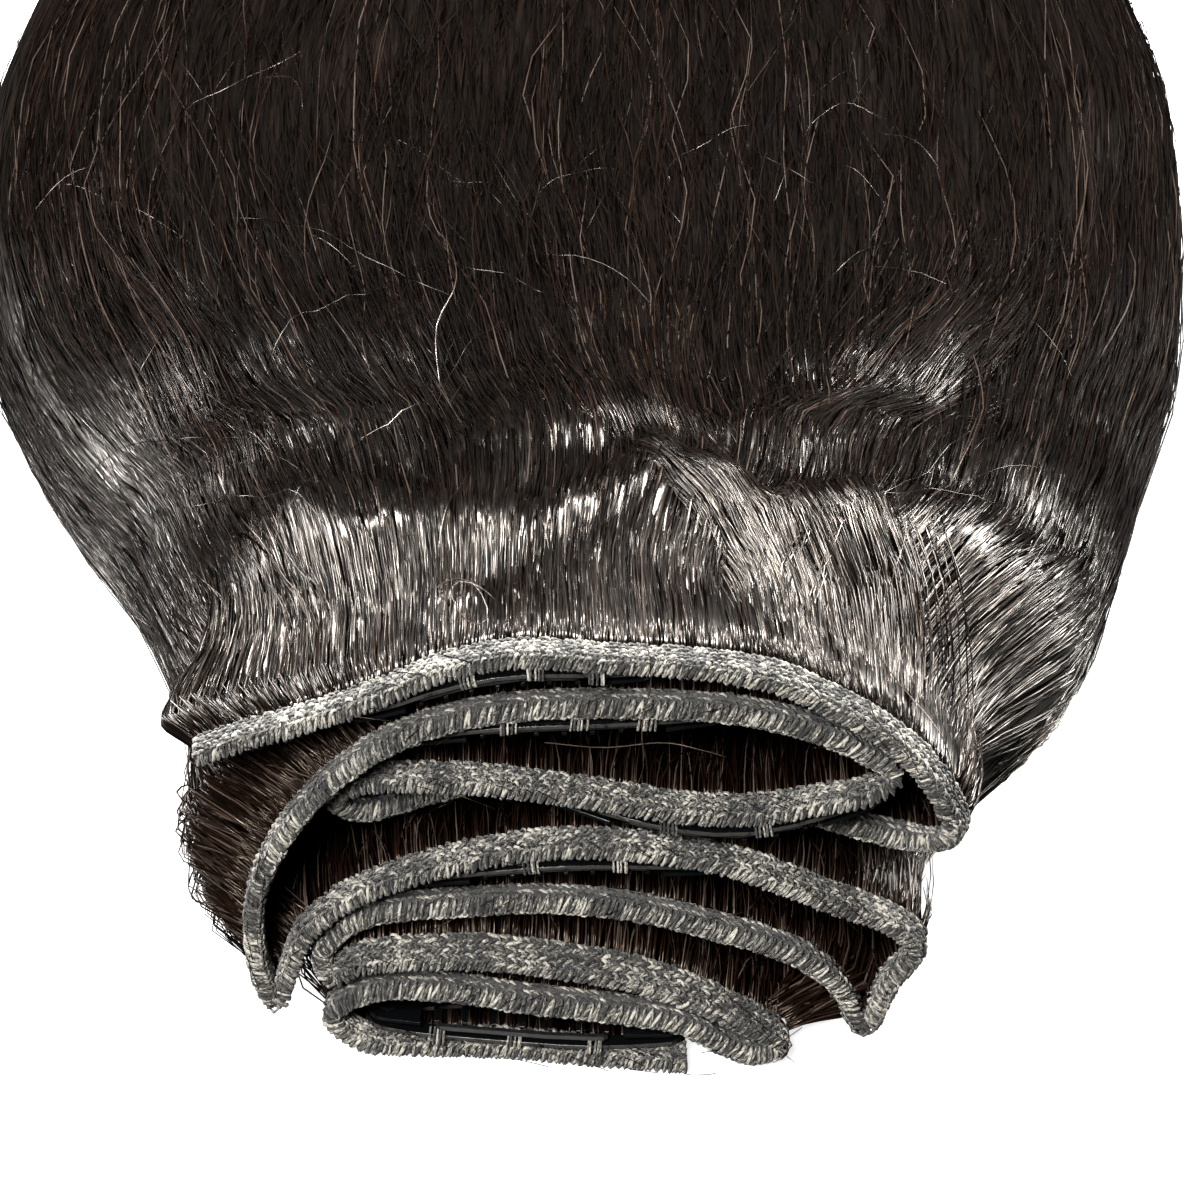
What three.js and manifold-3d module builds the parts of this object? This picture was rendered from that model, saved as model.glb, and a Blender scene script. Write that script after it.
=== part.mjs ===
// A clip-in hair extension: one long machine-sewn weft, folded back and forth into nine lays,
// with snap clips sewn to the lays and the hair running away from the folded stack.
// Millimetres. +X to the right, +Y from the weft towards the hair's tips, +Z up.
import * as THREE from 'three';
import { mergeVertices } from 'three/addons/utils/BufferGeometryUtils.js';
import Module from 'manifold-3d';

// The folded stack
const STACK_HALF_WIDTH = 38;
const STACK_HEIGHT = 42;
const STAGGER = 10; // how far one lay's front edge may stand behind another's

// The sewn band along the hair roots
const BAND_WIDTH = 4.2;
const BAND_THICKNESS = 1.8;
const BAND_EDGE_ROUND = 0.4;
const BAND_REAR_TAPER = 0.78; // the rear edge's thickness, as a share of the front's
const RING_SPACING = 5; // the furthest that two sections of the band are apart
const RING_TURN = 17; // the most that the band turns between two sections, in degrees

// The hair
const HAIR_LENGTH = 430;
const HAIR_HALF_SPREAD = 72;
const ROOT_GAP = 0.3; // clearance between the band and the hair behind it
const ROOT_THICKNESS = 1.4;
const ROOT_LOCK_RELIEF = 0.2;
const ROOT_BEND = 3; // length over which a pitched root turns level
const ROOT_ROWS = [0, 0.3, 1]; // shares of the way to the hank at which a lay's hair has a section
const HANK_FRONT = 26; // where the lays' hair runs together into one hank
const HANK_OVERLAP = 8; // how far the lays' hair reaches into the hank
const HANK_SHRINK_X = 0.94;
const HANK_SHRINK_Z = 0.94;
const HANK_SQUARENESS = 2.6; // superellipse power of the hank's front
const HANK_POINTS = 36;
const HANK_SINK = 1.06; // how much deeper the belly would reach if the surface did not flatten it
const TIP_STAGGER = 16; // how much further a lock's tip reaches than the dip beside it
const TIP_ROUND = 22; // how much further the middle locks reach than the outermost

// The snap clips
const CLIP_LENGTH = 32;
const CLIP_DEPTH = 9;
const CLIP_END_RADIUS = 2.6;
const CLIP_OVERHANG = 0.4; // how far a clip stands in front of its lay
const CLIP_CLEARANCE = 0.3; // between a clip and the band that it is sewn to
const RIVET_INSET = 2.5; // from a rivet's middle to the clip's end
const RIVET_X = CLIP_LENGTH / 2 - RIVET_INSET;
const RIVET_LAND = 3; // from a rivet's middle to the clip's window
const WINDOW_HALF = RIVET_X - RIVET_LAND;
const FRAME_THICKNESS = 0.4;
const FRAME_BAR = 2;
const COMB_THICKNESS = 0.35;
const COMB_GAP = 0.3;
const COMB_ARCH = 0.6;
const COMB_INSET = 0.3;
const COMB_END_SHRINK = 0.985;
const COMB_SPINE = 1.8;
const COMB_TEETH = 7;
const TOOTH_INSET = 2.1; // from the outermost tooth's middle to the window's end
const TOOTH_PITCH = 2 * (WINDOW_HALF - TOOTH_INSET) / (COMB_TEETH - 1);
const TOOTH_WIDTH = 0.9;
const TOOTH_REACH = 0.9; // how far a tooth's tip stays behind the frame's front edge
const GRIP_INSET = 2; // from the grip's end to the window's end
const GRIP_LENGTH = 2 * (WINDOW_HALF - GRIP_INSET);
const GRIP_WIDTH = 1.2;
const GRIP_HEIGHT = 0.55;
const GRIP_GAP = 0.1;
const RIVET_SHANK = 0.6;
const RIVET_HEAD = 1.1;
const RIVET_HEAD_THICKNESS = 0.15;
const RIVET_GAP = 0.08;
const RIVET_HOLE = RIVET_SHANK + 0.15;
const RIVET_SIDES = 6;
const EDGE_STEPS = 6;

// The nine lays in the order in which the band runs through them, each as sections from its start
// to its end: across and level are shares of the stack's half width and height and place the
// middle of the band's front edge. front is the share of the stagger that it stands behind the top
// lay, and pitch how far the band's rear is turned towards the left of its own direction, in
// degrees, each at the lay's start, middle and end. turn is the outermost point of the fold to the
// next lay.
const LAYS = [
  { name: 'top', pitch: [0, -2, 16], front: [0, 0, 0],
    across: [-0.99, -0.88, -0.7, -0.54, -0.39, -0.28, -0.16, 0.09, 0.3, 0.48, 0.61, 0.77, 0.85, 0.91],
    level: [0.743, 0.779, 0.833, 0.888, 0.95, 0.982, 0.998, 0.983, 0.967, 0.933, 0.876, 0.781, 0.706, 0.62],
    turn: { across: 0.935, level: 0.525, front: 0.1, pitch: 20 } },
  { name: 'inner', pitch: [0, 0, 0], front: [0.5, 0.95, 0.6],
    across: [0.83, 0.6, 0.42, 0.1, -0.3, -0.58],
    level: [0.457, 0.497, 0.52, 0.568, 0.572, 0.52],
    turn: { across: -0.645, level: 0.574, front: 0.45, pitch: 0 } },
  { name: 'third', pitch: [0, 4, 0], front: [0.3, -0.1, 0.1],
    across: [-0.57, -0.46, -0.3, 0, 0.25, 0.42, 0.6, 0.73],
    level: [0.63, 0.65, 0.66, 0.638, 0.602, 0.588, 0.608, 0.628],
    turn: { across: 0.795, level: 0.671, front: 0.15, pitch: 0 } },
  { name: 'second', pitch: [0, -4, 0], front: [0.2, 0, 0],
    across: [0.712, 0.6, 0.42, 0.1, -0.2, -0.4, -0.55, -0.7, -0.79, -0.845, -0.855, -0.84],
    level: [0.727, 0.78, 0.832, 0.857, 0.85, 0.81, 0.742, 0.62, 0.5, 0.38, 0.27, 0.16],
    turn: { across: -0.8, level: 0.085, front: 0, pitch: 0 } },
  { name: 'fourth', pitch: [0, 3, 5], front: [-0.05, -0.1, -0.1],
    across: [-0.77, -0.717, -0.59, -0.43, -0.25, -0.04, 0.2, 0.385, 0.65, 0.79],
    level: [0.16, 0.28, 0.378, 0.44, 0.487, 0.512, 0.497, 0.46, 0.36, 0.305],
    turn: { across: 0.85, level: 0.24, front: -0.05, pitch: 8 } },
  { name: 'fifth', pitch: [0, 0, 0], front: [0, 0, 0],
    across: [0.79, 0.725, 0.665, 0.56, 0.31, 0.1, -0.1, -0.37, -0.5, -0.59, -0.652],
    level: [0.14, 0.022, 0.12, 0.205, 0.29, 0.338, 0.355, 0.342, 0.33, 0.306, 0.26],
    turn: { across: -0.68, level: 0.219, front: -0.1, pitch: -4 } },
  { name: 'sixth', pitch: [-4, 24, 14], front: [-0.2, -0.35, -0.6],
    across: [-0.652, -0.59, -0.43, -0.2, 0.147, 0.31, 0.43],
    level: [0.183, 0.218, 0.238, 0.236, 0.19, 0.142, 0.098],
    turn: { across: 0.505, level: 0.058, front: -0.62, pitch: 0 } },
  { name: 'seventh', pitch: [0, -3, 0], front: [-0.65, -0.45, -0.28],
    across: [0.43, 0.24, 0.1, -0.15, -0.37, -0.56],
    level: [0.038, 0.11, 0.123, 0.142, 0.166, 0.152],
    turn: { across: -0.655, level: 0.09, front: -0.28, pitch: 0 } },
  { name: 'bottom', pitch: [0, 0, 0], front: [-0.28, -0.42, -0.7],
    across: [-0.61, -0.54, -0.21, 0, 0.262],
    level: [0.04, 0.0225, 0.0215, 0.0215, 0.0215] },
];

// The hank's sections behind the stack: at is a share of the hair's length from the hank's front,
// half of the spread's half width, top of the stack's height, lean of the spread's half width,
// shoulder of the section's own height, and relief is the depth of the grooves between locks in
// shares of the root's thickness.
const HANK = [
  { at: -0.018, half: 0.5, top: 0.955, lean: 0.01, shoulder: 0.5, relief: 0 },
  { at: 0.012, half: 0.585, top: 1, lean: 0.035, shoulder: 0.5, relief: 0.2 },
  { at: 0.045, half: 0.65, top: 0.96, lean: 0.055, shoulder: 0.48, relief: 0.5 },
  { at: 0.095, half: 0.725, top: 0.87, lean: 0.055, shoulder: 0.45, relief: 0.7 },
  { at: 0.155, half: 0.805, top: 0.775, lean: 0.035, shoulder: 0.42, relief: 0.8 },
  { at: 0.23, half: 0.895, top: 0.67, lean: 0.03, shoulder: 0.4, relief: 0.9 },
  { at: 0.33, half: 0.97, top: 0.56, lean: 0.02, shoulder: 0.38, relief: 0.9 },
  { at: 0.45, half: 1.03, top: 0.47, lean: 0.01, shoulder: 0.36, relief: 0.9 },
  { at: 0.6, half: 1, top: 0.39, lean: -0.01, shoulder: 0.35, relief: 0.9 },
  { at: 0.75, half: 0.88, top: 0.3, lean: -0.03, shoulder: 0.35, relief: 0.8 },
  { at: 0.88, half: 0.7, top: 0.2, lean: -0.04, shoulder: 0.35, relief: 0.6 },
  { at: 0.975, half: 0.5, top: 0.085, lean: -0.04, shoulder: 0.4, relief: 0.2 },
];

// The clips: which lay each is sewn to, where its middle lies as a share of the stack's half
// width, and whether it is on the lay's upper or lower side.
const CLIPS = [
  { name: 'clip_1', lay: 'top', across: -0.23, above: false },
  { name: 'clip_2', lay: 'second', across: -0.05, above: false },
  { name: 'clip_3', lay: 'third', across: 0.335, above: false },
  { name: 'clip_4', lay: 'fourth', across: -0.05, above: false },
  { name: 'clip_5', lay: 'bottom', across: -0.162, above: true },
];

const thread = new THREE.MeshStandardMaterial({ color: 0x3a3833, roughness: 0.85, metalness: 0 });
const hair = new THREE.MeshStandardMaterial({ color: 0x1c1310, roughness: 0.45, metalness: 0 });
const steel = new THREE.MeshStandardMaterial({ color: 0x0c0d0e, roughness: 0.3, metalness: 0.6 });
const silicone = new THREE.MeshStandardMaterial({ color: 0x131313, roughness: 0.6, metalness: 0 });

// The band's route as one list of stations, each { point, pitch }, and where each lay starts in it.
function routeStations() {
  const stations = [];
  const starts = {};
  LAYS.forEach((lay) => {
    const last = lay.across.length - 1;
    starts[lay.name] = stations.length;
    lay.across.forEach((across, i) => {
      const place = (2 * i) / last;
      const half = place < 1 ? 0 : 1;
      const along = (values) => THREE.MathUtils.lerp(values[half], values[half + 1], place - half);
      stations.push({ point: routePoint(across, lay.level[i], along(lay.front)), pitch: along(lay.pitch) });
    });
    if (lay.turn) {
      stations.push({ point: routePoint(lay.turn.across, lay.turn.level, lay.turn.front), pitch: lay.turn.pitch });
    }
  });
  return { stations, starts };
}

function routePoint(across, level, front) {
  return new THREE.Vector3(across * STACK_HALF_WIDTH, front * STAGGER, level * STACK_HEIGHT);
}

const { stations: STATIONS, starts: LAY_STARTS } = routeStations();
const ROUTE = new THREE.CatmullRomCurve3(STATIONS.map((s) => s.point), false, 'centripetal');
const ROUTE_SEGMENTS = STATIONS.length - 1;

// The band's local frame at a place counted in stations: the front edge's middle, the direction
// along the band, the one across its width and the one through its thickness.
function bandFrame(place) {
  const share = place / ROUTE_SEGMENTS;
  const origin = ROUTE.getPoint(share);
  origin.z = Math.max(origin.z, BAND_THICKNESS / 2); // the lowest lay rests on the surface
  const tangent = ROUTE.getTangent(share);
  tangent.y = 0;
  tangent.normalize();
  const outward = new THREE.Vector3(-tangent.z, 0, tangent.x);
  const low = Math.min(Math.floor(place), ROUTE_SEGMENTS - 1);
  const pitch = THREE.MathUtils.degToRad(
    THREE.MathUtils.lerp(STATIONS[low].pitch, STATIONS[low + 1].pitch, place - low));
  const back = new THREE.Vector3(0, 1, 0);
  const across = back.clone().multiplyScalar(Math.cos(pitch)).addScaledVector(outward, Math.sin(pitch));
  const through = outward.clone().multiplyScalar(Math.cos(pitch)).addScaledVector(back, -Math.sin(pitch));
  return { origin, tangent, across, through, pitch, outward };
}

// The places along the route at which the band and its hair have a section.
function ringPlaces() {
  const fine = 24;
  const places = [0];
  let last = bandFrame(0);
  for (let i = 1; i < ROUTE_SEGMENTS * fine; i += 1) {
    const frame = bandFrame(i / fine);
    const turned = THREE.MathUtils.radToDeg(frame.tangent.angleTo(last.tangent));
    if (turned > RING_TURN || frame.origin.distanceTo(last.origin) > RING_SPACING) {
      places.push(i / fine);
      last = frame;
    }
  }
  return [...places, ROUTE_SEGMENTS];
}

const RING_PLACES = ringPlaces();

// A closed surface through rings of equally many points, with flat fans over both ends.
function skin(rings) {
  const sides = rings[0].length;
  const positions = [];
  const index = [];
  rings.forEach((ring) => ring.forEach((p) => positions.push(p.x, p.y, p.z)));
  for (let r = 0; r < rings.length - 1; r += 1) {
    for (let s = 0; s < sides; s += 1) {
      const a = r * sides + s;
      const b = r * sides + ((s + 1) % sides);
      index.push(a, b, b + sides, a, b + sides, a + sides);
    }
  }
  capRing(positions, index, rings[0], 0, true);
  capRing(positions, index, rings[rings.length - 1], (rings.length - 1) * sides, false);
  const geometry = new THREE.BufferGeometry();
  geometry.setAttribute('position', new THREE.Float32BufferAttribute(positions, 3));
  geometry.setIndex(index);
  return geometry;
}

// Closes a ring with strips between its two halves, so that a long flat ring needs no far centre.
function capRing(positions, index, ring, start, reversed) {
  const sides = ring.length;
  const add = (a, b, c) => (reversed ? index.push(a, c, b) : index.push(a, b, c));
  let low = 0;
  let high = sides - 1;
  while (high - low > 1) {
    add(start + low, start + low + 1, start + high);
    low += 1;
    if (high - low > 1) {
      add(start + low, start + high - 1, start + high);
      high -= 1;
    }
  }
}

// The band's section, seen along the band: [distance behind the front edge, height over its middle].
function bandSection() {
  const half = BAND_THICKNESS / 2;
  const rear = half * BAND_REAR_TAPER;
  return [
    [0, half - BAND_EDGE_ROUND], [0, BAND_EDGE_ROUND - half], [BAND_EDGE_ROUND, -half],
    [BAND_WIDTH, -rear], [BAND_WIDTH, rear], [BAND_EDGE_ROUND, half],
  ];
}

function bandGeometry() {
  const section = bandSection();
  return skin(RING_PLACES.map((place) => {
    const frame = bandFrame(place);
    return section.map(([behind, height]) => frame.origin.clone()
      .addScaledVector(frame.across, behind)
      .addScaledVector(frame.through, height));
  }));
}

// The hair between the band and the hank: one sheet that follows the band's whole route, and
// draws together evenly towards the hank so that neighbouring lays never cross.
function rootSheetGeometry() {
  const end = HANK_FRONT + HANK_OVERLAP;
  return skin(RING_PLACES.map((place, i) => {
    const frame = bandFrame(place);
    const clear = ROOT_GAP + Math.abs(Math.sin(frame.pitch)) * BAND_THICKNESS / 2;
    const start = frame.origin.clone().addScaledVector(frame.across, BAND_WIDTH + clear);
    const half = (ROOT_THICKNESS + (i % 2 ? ROOT_LOCK_RELIEF : -ROOT_LOCK_RELIEF)) / 2;
    const upper = [];
    const lower = [];
    ROOT_ROWS.forEach((share) => {
      const y = THREE.MathUtils.lerp(start.y, end, share);
      const draw = Math.max(0, (share - ROOT_ROWS[1]) / (1 - ROOT_ROWS[1]));
      const rise = Math.sin(frame.pitch) * ROOT_BEND * (1 - Math.exp(-(y - start.y) / ROOT_BEND));
      const centre = start.clone().addScaledVector(frame.outward, rise);
      centre.set(
        centre.x * THREE.MathUtils.lerp(1, HANK_SHRINK_X, draw), y,
        centre.z * THREE.MathUtils.lerp(1, HANK_SHRINK_Z, draw));
      upper.push(centre.clone().addScaledVector(frame.outward, half));
      lower.push(centre.clone().addScaledVector(frame.outward, -half));
    });
    return [...lower, ...upper.reverse()];
  }));
}

// One section of the hank: a superellipse flattened by the surface under it, whose upper side has
// a groove between each two locks.
function hankRing(row, isTip) {
  const half = row.half * HAIR_HALF_SPREAD;
  const top = row.top * STACK_HEIGHT;
  const shoulder = row.shoulder * top;
  const power = 2 / HANK_SQUARENESS;
  const ring = [];
  for (let i = 0; i < HANK_POINTS; i += 1) {
    const angle = (-2 * Math.PI * i) / HANK_POINTS;
    const c = Math.cos(angle);
    const s = Math.sin(angle);
    const crest = i % 2 === 0;
    const groove = crest ? 0 : row.relief * ROOT_THICKNESS * Math.max(0, s);
    const reach = s >= 0 ? top - shoulder - groove : shoulder * HANK_SINK;
    const side = Math.sign(c) * Math.abs(c) ** power;
    const tip = isTip ? (crest ? TIP_STAGGER : 0) - TIP_ROUND * side ** 2 : 0;
    ring.push(new THREE.Vector3(
      row.lean * HAIR_HALF_SPREAD + half * side,
      HANK_FRONT + row.at * HAIR_LENGTH + tip,
      Math.max(0, shoulder + Math.sign(s) * reach * Math.abs(s) ** power)));
  }
  return ring;
}

function hankGeometry() {
  return skin(HANK.map((row, i) => hankRing(row, i === HANK.length - 1)));
}

// Half the clip's depth at a distance x from its middle: a flat arc that ends in round tips.
function halfDepth(x, inset) {
  const straight = CLIP_LENGTH / 2 - CLIP_END_RADIUS;
  const beyond = Math.abs(x) - straight;
  if (beyond > 0) return Math.sqrt(Math.max(0.02, CLIP_END_RADIUS ** 2 - beyond ** 2)) - inset;
  return CLIP_END_RADIUS + (CLIP_DEPTH / 2 - CLIP_END_RADIUS) * (1 - (x / straight) ** 2) - inset;
}

const frontEdge = (inset) => (x) => CLIP_DEPTH / 2 - halfDepth(x, inset);
const rearEdge = (inset) => (x) => CLIP_DEPTH / 2 + halfDepth(x, inset);

// How far the comb stands off the frame at a distance from the clip's middle.
function combBase(x) {
  return FRAME_THICKNESS + COMB_GAP + COMB_ARCH * Math.max(0, 1 - (x / (CLIP_LENGTH / 2)) ** 2);
}

// A flat strip of sheet steel along the clip, with sections at the given x.
function strip(xs, front, rear, base, thickness) {
  return skin(xs.map((x) => [
    new THREE.Vector3(x, front(x), base(x)),
    new THREE.Vector3(x, rear(x), base(x)),
    new THREE.Vector3(x, rear(x), base(x) + thickness),
    new THREE.Vector3(x, front(x), base(x) + thickness),
  ]));
}

function evenly(from, to, steps) {
  return Array.from({ length: steps + 1 }, (_, i) => THREE.MathUtils.lerp(from, to, i / steps));
}

// The sections of the two solid ends of the clip, beside its window.
function endSections(side) {
  const tip = CLIP_LENGTH / 2;
  const xs = [WINDOW_HALF - 0.3, tip - CLIP_END_RADIUS, tip - 1.1, tip - 0.2];
  return side > 0 ? xs : xs.map((x) => -x).reverse();
}

// The sewn-on frame: two bars along a lens-shaped window, and the ends that join them.
function frameSolid(bend) {
  const flat = () => 0;
  const bars = evenly(-WINDOW_HALF, WINDOW_HALF, EDGE_STEPS);
  const pieces = [
    strip(bars, frontEdge(0), frontEdge(FRAME_BAR), flat, FRAME_THICKNESS),
    strip(bars, rearEdge(FRAME_BAR), rearEdge(0), flat, FRAME_THICKNESS),
    ...[-1, 1].map((side) => strip(endSections(side), frontEdge(0), rearEdge(0), flat, FRAME_THICKNESS)),
  ];
  return cutRivetHoles(joined(pieces.map(bend)), bend);
}

// The comb: its spine along the rear, its teeth towards the front, arched away from the frame.
function combSolid(bend) {
  const spineFront = (x) => rearEdge(COMB_INSET)(x) - COMB_SPINE;
  const pieces = [
    strip(evenly(-WINDOW_HALF, WINDOW_HALF, EDGE_STEPS), spineFront, rearEdge(COMB_INSET), combBase, COMB_THICKNESS),
    ...[-1, 1].map((side) => strip(
      endSections(side).map((x) => x * COMB_END_SHRINK),
      frontEdge(COMB_INSET), rearEdge(COMB_INSET), combBase, COMB_THICKNESS)),
  ];
  for (let i = 0; i < COMB_TEETH; i += 1) {
    const x = (i - (COMB_TEETH - 1) / 2) * TOOTH_PITCH;
    const root = spineFront(x) + COMB_SPINE / 3;
    const tip = frontEdge(TOOTH_REACH)(x);
    pieces.push(skin([[root, TOOTH_WIDTH / 2], [tip, TOOTH_WIDTH / 4]].map(([y, half]) => [
      new THREE.Vector3(x - half, y, combBase(x)),
      new THREE.Vector3(x + half, y, combBase(x)),
      new THREE.Vector3(x + half, y, combBase(x) + COMB_THICKNESS),
      new THREE.Vector3(x - half, y, combBase(x) + COMB_THICKNESS),
    ])));
  }
  return cutRivetHoles(joined(pieces.map(bend)), bend);
}

function cutRivetHoles(solid, bend) {
  return [-RIVET_X, RIVET_X].reduce((rest, x) => rest.subtract(toSolid(bend(
    new THREE.CylinderGeometry(RIVET_HOLE, RIVET_HOLE, 4, RIVET_SIDES).rotateX(Math.PI / 2)
      .translate(x, CLIP_DEPTH / 2, 0)))), solid);
}

// The soft strip that the teeth press the wearer's hair against.
function gripGeometry() {
  const half = GRIP_LENGTH / 2;
  const xs = [-half, 0.4 - half, ...evenly(1.2 - half, half - 1.2, EDGE_STEPS / 2), half - 0.4, half];
  return skin(xs.map((x) => {
    const fullness = Math.abs(x) > half - 0.2 ? 0.45 : 1;
    return evenly(0, 5, 5).map((k) => {
      const angle = (k / 6) * 2 * Math.PI;
      return new THREE.Vector3(
        x, frontEdge(0)(x) + FRAME_BAR / 2 + (GRIP_WIDTH / 2) * fullness * Math.cos(angle),
        FRAME_THICKNESS + GRIP_GAP + (GRIP_HEIGHT / 2) * (1 + fullness * Math.sin(angle)));
    });
  }));
}

// A rivet through the clip's end, flush under the frame, with a low head over the comb.
function rivetGeometry() {
  const headBase = combBase(RIVET_X - RIVET_HEAD) + COMB_THICKNESS + RIVET_GAP;
  return new THREE.LatheGeometry([
    new THREE.Vector2(0, 0),
    new THREE.Vector2(RIVET_SHANK, 0),
    new THREE.Vector2(RIVET_SHANK, headBase),
    new THREE.Vector2(RIVET_HEAD, headBase),
    new THREE.Vector2(RIVET_HEAD * 0.7, headBase + RIVET_HEAD_THICKNESS),
    new THREE.Vector2(0, headBase + RIVET_HEAD_THICKNESS),
  ], RIVET_SIDES).rotateX(Math.PI / 2);
}

// Where a clip is sewn: the band's place under the clip's middle, and the two places past its ends.
function clipPlace(clip) {
  const lay = LAYS.find((entry) => entry.name === clip.lay);
  const start = LAY_STARTS[clip.lay];
  const centre = clip.across * STACK_HALF_WIDTH;
  let best = start;
  for (let i = 0; i <= 400; i += 1) {
    const place = start + (i / 400) * (lay.across.length - 1);
    if (Math.abs(bandFrame(place).origin.x - centre) < Math.abs(bandFrame(best).origin.x - centre)) best = place;
  }
  return best;
}

// A clip's spring steel lies along its lay: this bends a clip part, drawn flat with X along the
// clip, Y away from the lay's front edge and Z away from the band, to the lay's own curve.
function bendToLay(geometry, clip) {
  const middlePlace = clipPlace(clip);
  const middle = bandFrame(middlePlace);
  const side = Math.sign(middle.through.z) * (clip.above ? 1 : -1);
  const direction = Math.sign(middle.tangent.x) * (clip.above ? 1 : -1);
  const steps = trackSteps(middlePlace, direction);
  const position = geometry.getAttribute('position');
  for (let i = 0; i < position.count; i += 1) {
    const at = frameAtDistance(steps, position.getX(i));
    const bent = at.origin.clone()
      .addScaledVector(middle.across, position.getY(i) - CLIP_OVERHANG)
      .addScaledVector(at.normal, side * (BAND_THICKNESS / 2 + CLIP_CLEARANCE + position.getZ(i)));
    position.setXYZ(i, bent.x, bent.y, bent.z);
  }
  return geometry;
}

// Points along the lay to both sides of a place, each with its distance from it along the clip.
function trackSteps(middlePlace, direction) {
  const steps = [];
  [-1, 1].forEach((way) => {
    let distance = 0;
    let previous = bandFrame(middlePlace).origin;
    for (let i = 0; distance < CLIP_LENGTH / 2 + 1; i += 1) {
      const frame = bandFrame(middlePlace + way * direction * i * 0.05);
      distance += frame.origin.distanceTo(previous);
      previous = frame.origin;
      steps.push({ distance: way * distance, frame });
    }
  });
  return steps.sort((a, b) => a.distance - b.distance);
}

function frameAtDistance(steps, distance) {
  const high = Math.max(1, steps.findIndex((step) => step.distance >= distance));
  const [a, b] = [steps[high - 1], steps[high]];
  const share = (distance - a.distance) / Math.max(b.distance - a.distance, 1e-6);
  return {
    origin: a.frame.origin.clone().lerp(b.frame.origin, share),
    normal: a.frame.through.clone().lerp(b.frame.through, share).normalize(),
  };
}

function addMesh(parent, name, geometry, material) {
  const mesh = new THREE.Mesh(geometry, material);
  mesh.name = name;
  parent.add(mesh);
}

function buildClip(clip) {
  const group = new THREE.Group();
  const bend = (geometry) => bendToLay(geometry, clip);
  const rivetAt = (x) => bend(rivetGeometry().translate(x, CLIP_DEPTH / 2, 0));
  addMesh(group, `${clip.name}_frame`, fromSolid(frameSolid(bend)), steel);
  addMesh(group, `${clip.name}_comb`, fromSolid(combSolid(bend)), steel);
  addMesh(group, `${clip.name}_grip`, bend(gripGeometry()), silicone);
  addMesh(group, `${clip.name}_rivet_left`, rivetAt(-RIVET_X), steel);
  addMesh(group, `${clip.name}_rivet_right`, rivetAt(RIVET_X), steel);
  return group;
}

const wasm = await Module();
wasm.setup();

// A closed geometry as a solid that can be joined to others.
function toSolid(geometry) {
  const bare = geometry.clone();
  bare.deleteAttribute('normal');
  bare.deleteAttribute('uv');
  const merged = mergeVertices(bare, 1e-4);
  return new wasm.Manifold(new wasm.Mesh({
    numProp: 3,
    vertProperties: new Float32Array(merged.getAttribute('position').array),
    triVerts: new Uint32Array(merged.index.array),
  }));
}

function fromSolid(solid) {
  const mesh = solid.getMesh();
  const geometry = new THREE.BufferGeometry();
  geometry.setAttribute('position', new THREE.BufferAttribute(mesh.vertProperties, 3));
  geometry.setIndex(new THREE.BufferAttribute(mesh.triVerts, 1));
  geometry.computeVertexNormals();
  return geometry;
}

function joined(geometries) {
  return geometries.map(toSolid).reduce((sum, solid) => sum.add(solid));
}

// The hair of all lays fused to the hank, without the small voids that close inside it.
function hairGeometry() {
  const fused = joined([hankGeometry(), rootSheetGeometry()]);
  const shells = fused.decompose().filter((s) => s.volume() > 0);
  shells.sort((a, b) => b.volume() - a.volume());
  return fromSolid(shells[0]);
}

const model = new THREE.Group();
addMesh(model, 'weft_band', bandGeometry(), thread);
addMesh(model, 'hair', hairGeometry(), hair);
CLIPS.forEach((clip) => model.add(buildClip(clip)));

// The origin is the middle of the base under the whole extension.
model.updateMatrixWorld(true);
const bounds = new THREE.Box3().setFromObject(model, true);
const middle = bounds.getCenter(new THREE.Vector3());
model.position.set(-middle.x, -middle.y, -bounds.min.z);

const extension = new THREE.Group();
extension.add(model);

export default extension;
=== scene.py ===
"""A clip-in hair extension: the sewn weft in its folded stack, its snap clips and its hair.

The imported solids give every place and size. Lengths here are millimetres in the weft's own frame:
X to the right, Y from the weft towards the hair's tips, Z up. ``Workshop`` turns them to the row
frame's metres when it makes a mesh.
"""

import logging
from dataclasses import dataclass, field
from typing import Any

import bpy
import numpy as np
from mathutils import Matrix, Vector
from numpy.typing import NDArray


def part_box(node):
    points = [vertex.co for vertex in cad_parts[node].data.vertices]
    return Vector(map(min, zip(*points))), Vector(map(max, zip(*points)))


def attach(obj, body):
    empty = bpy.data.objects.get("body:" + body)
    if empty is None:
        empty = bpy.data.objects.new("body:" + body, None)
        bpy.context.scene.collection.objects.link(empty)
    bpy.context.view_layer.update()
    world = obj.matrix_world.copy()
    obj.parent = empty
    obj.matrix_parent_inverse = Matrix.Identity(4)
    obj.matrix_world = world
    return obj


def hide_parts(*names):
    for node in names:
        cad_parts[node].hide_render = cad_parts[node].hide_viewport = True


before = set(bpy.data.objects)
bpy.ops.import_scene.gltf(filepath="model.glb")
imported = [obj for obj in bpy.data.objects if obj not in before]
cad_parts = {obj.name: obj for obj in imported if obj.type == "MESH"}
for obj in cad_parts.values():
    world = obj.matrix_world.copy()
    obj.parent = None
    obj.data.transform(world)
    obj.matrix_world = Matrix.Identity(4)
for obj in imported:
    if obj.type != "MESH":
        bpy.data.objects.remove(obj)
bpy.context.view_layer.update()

logging.basicConfig(level=logging.INFO, format="%(message)s")
LOG = logging.getLogger("extension")

Array = NDArray[np.float64]
MM = 0.001


def smooth_step(value: Array | float, low: float, high: float) -> Array:
    """Rises from 0 at low to 1 at high as 3t^2 - 2t^3.

    Args:
        value: What is compared with the two ends.
        low: Where the rise starts.
        high: Where it is complete.

    Returns:
        The share reached, from 0 to 1.
    """
    t = np.clip((np.asarray(value, dtype=float) - low) / (high - low), 0.0, 1.0)
    return t * t * (3.0 - 2.0 * t)


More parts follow.
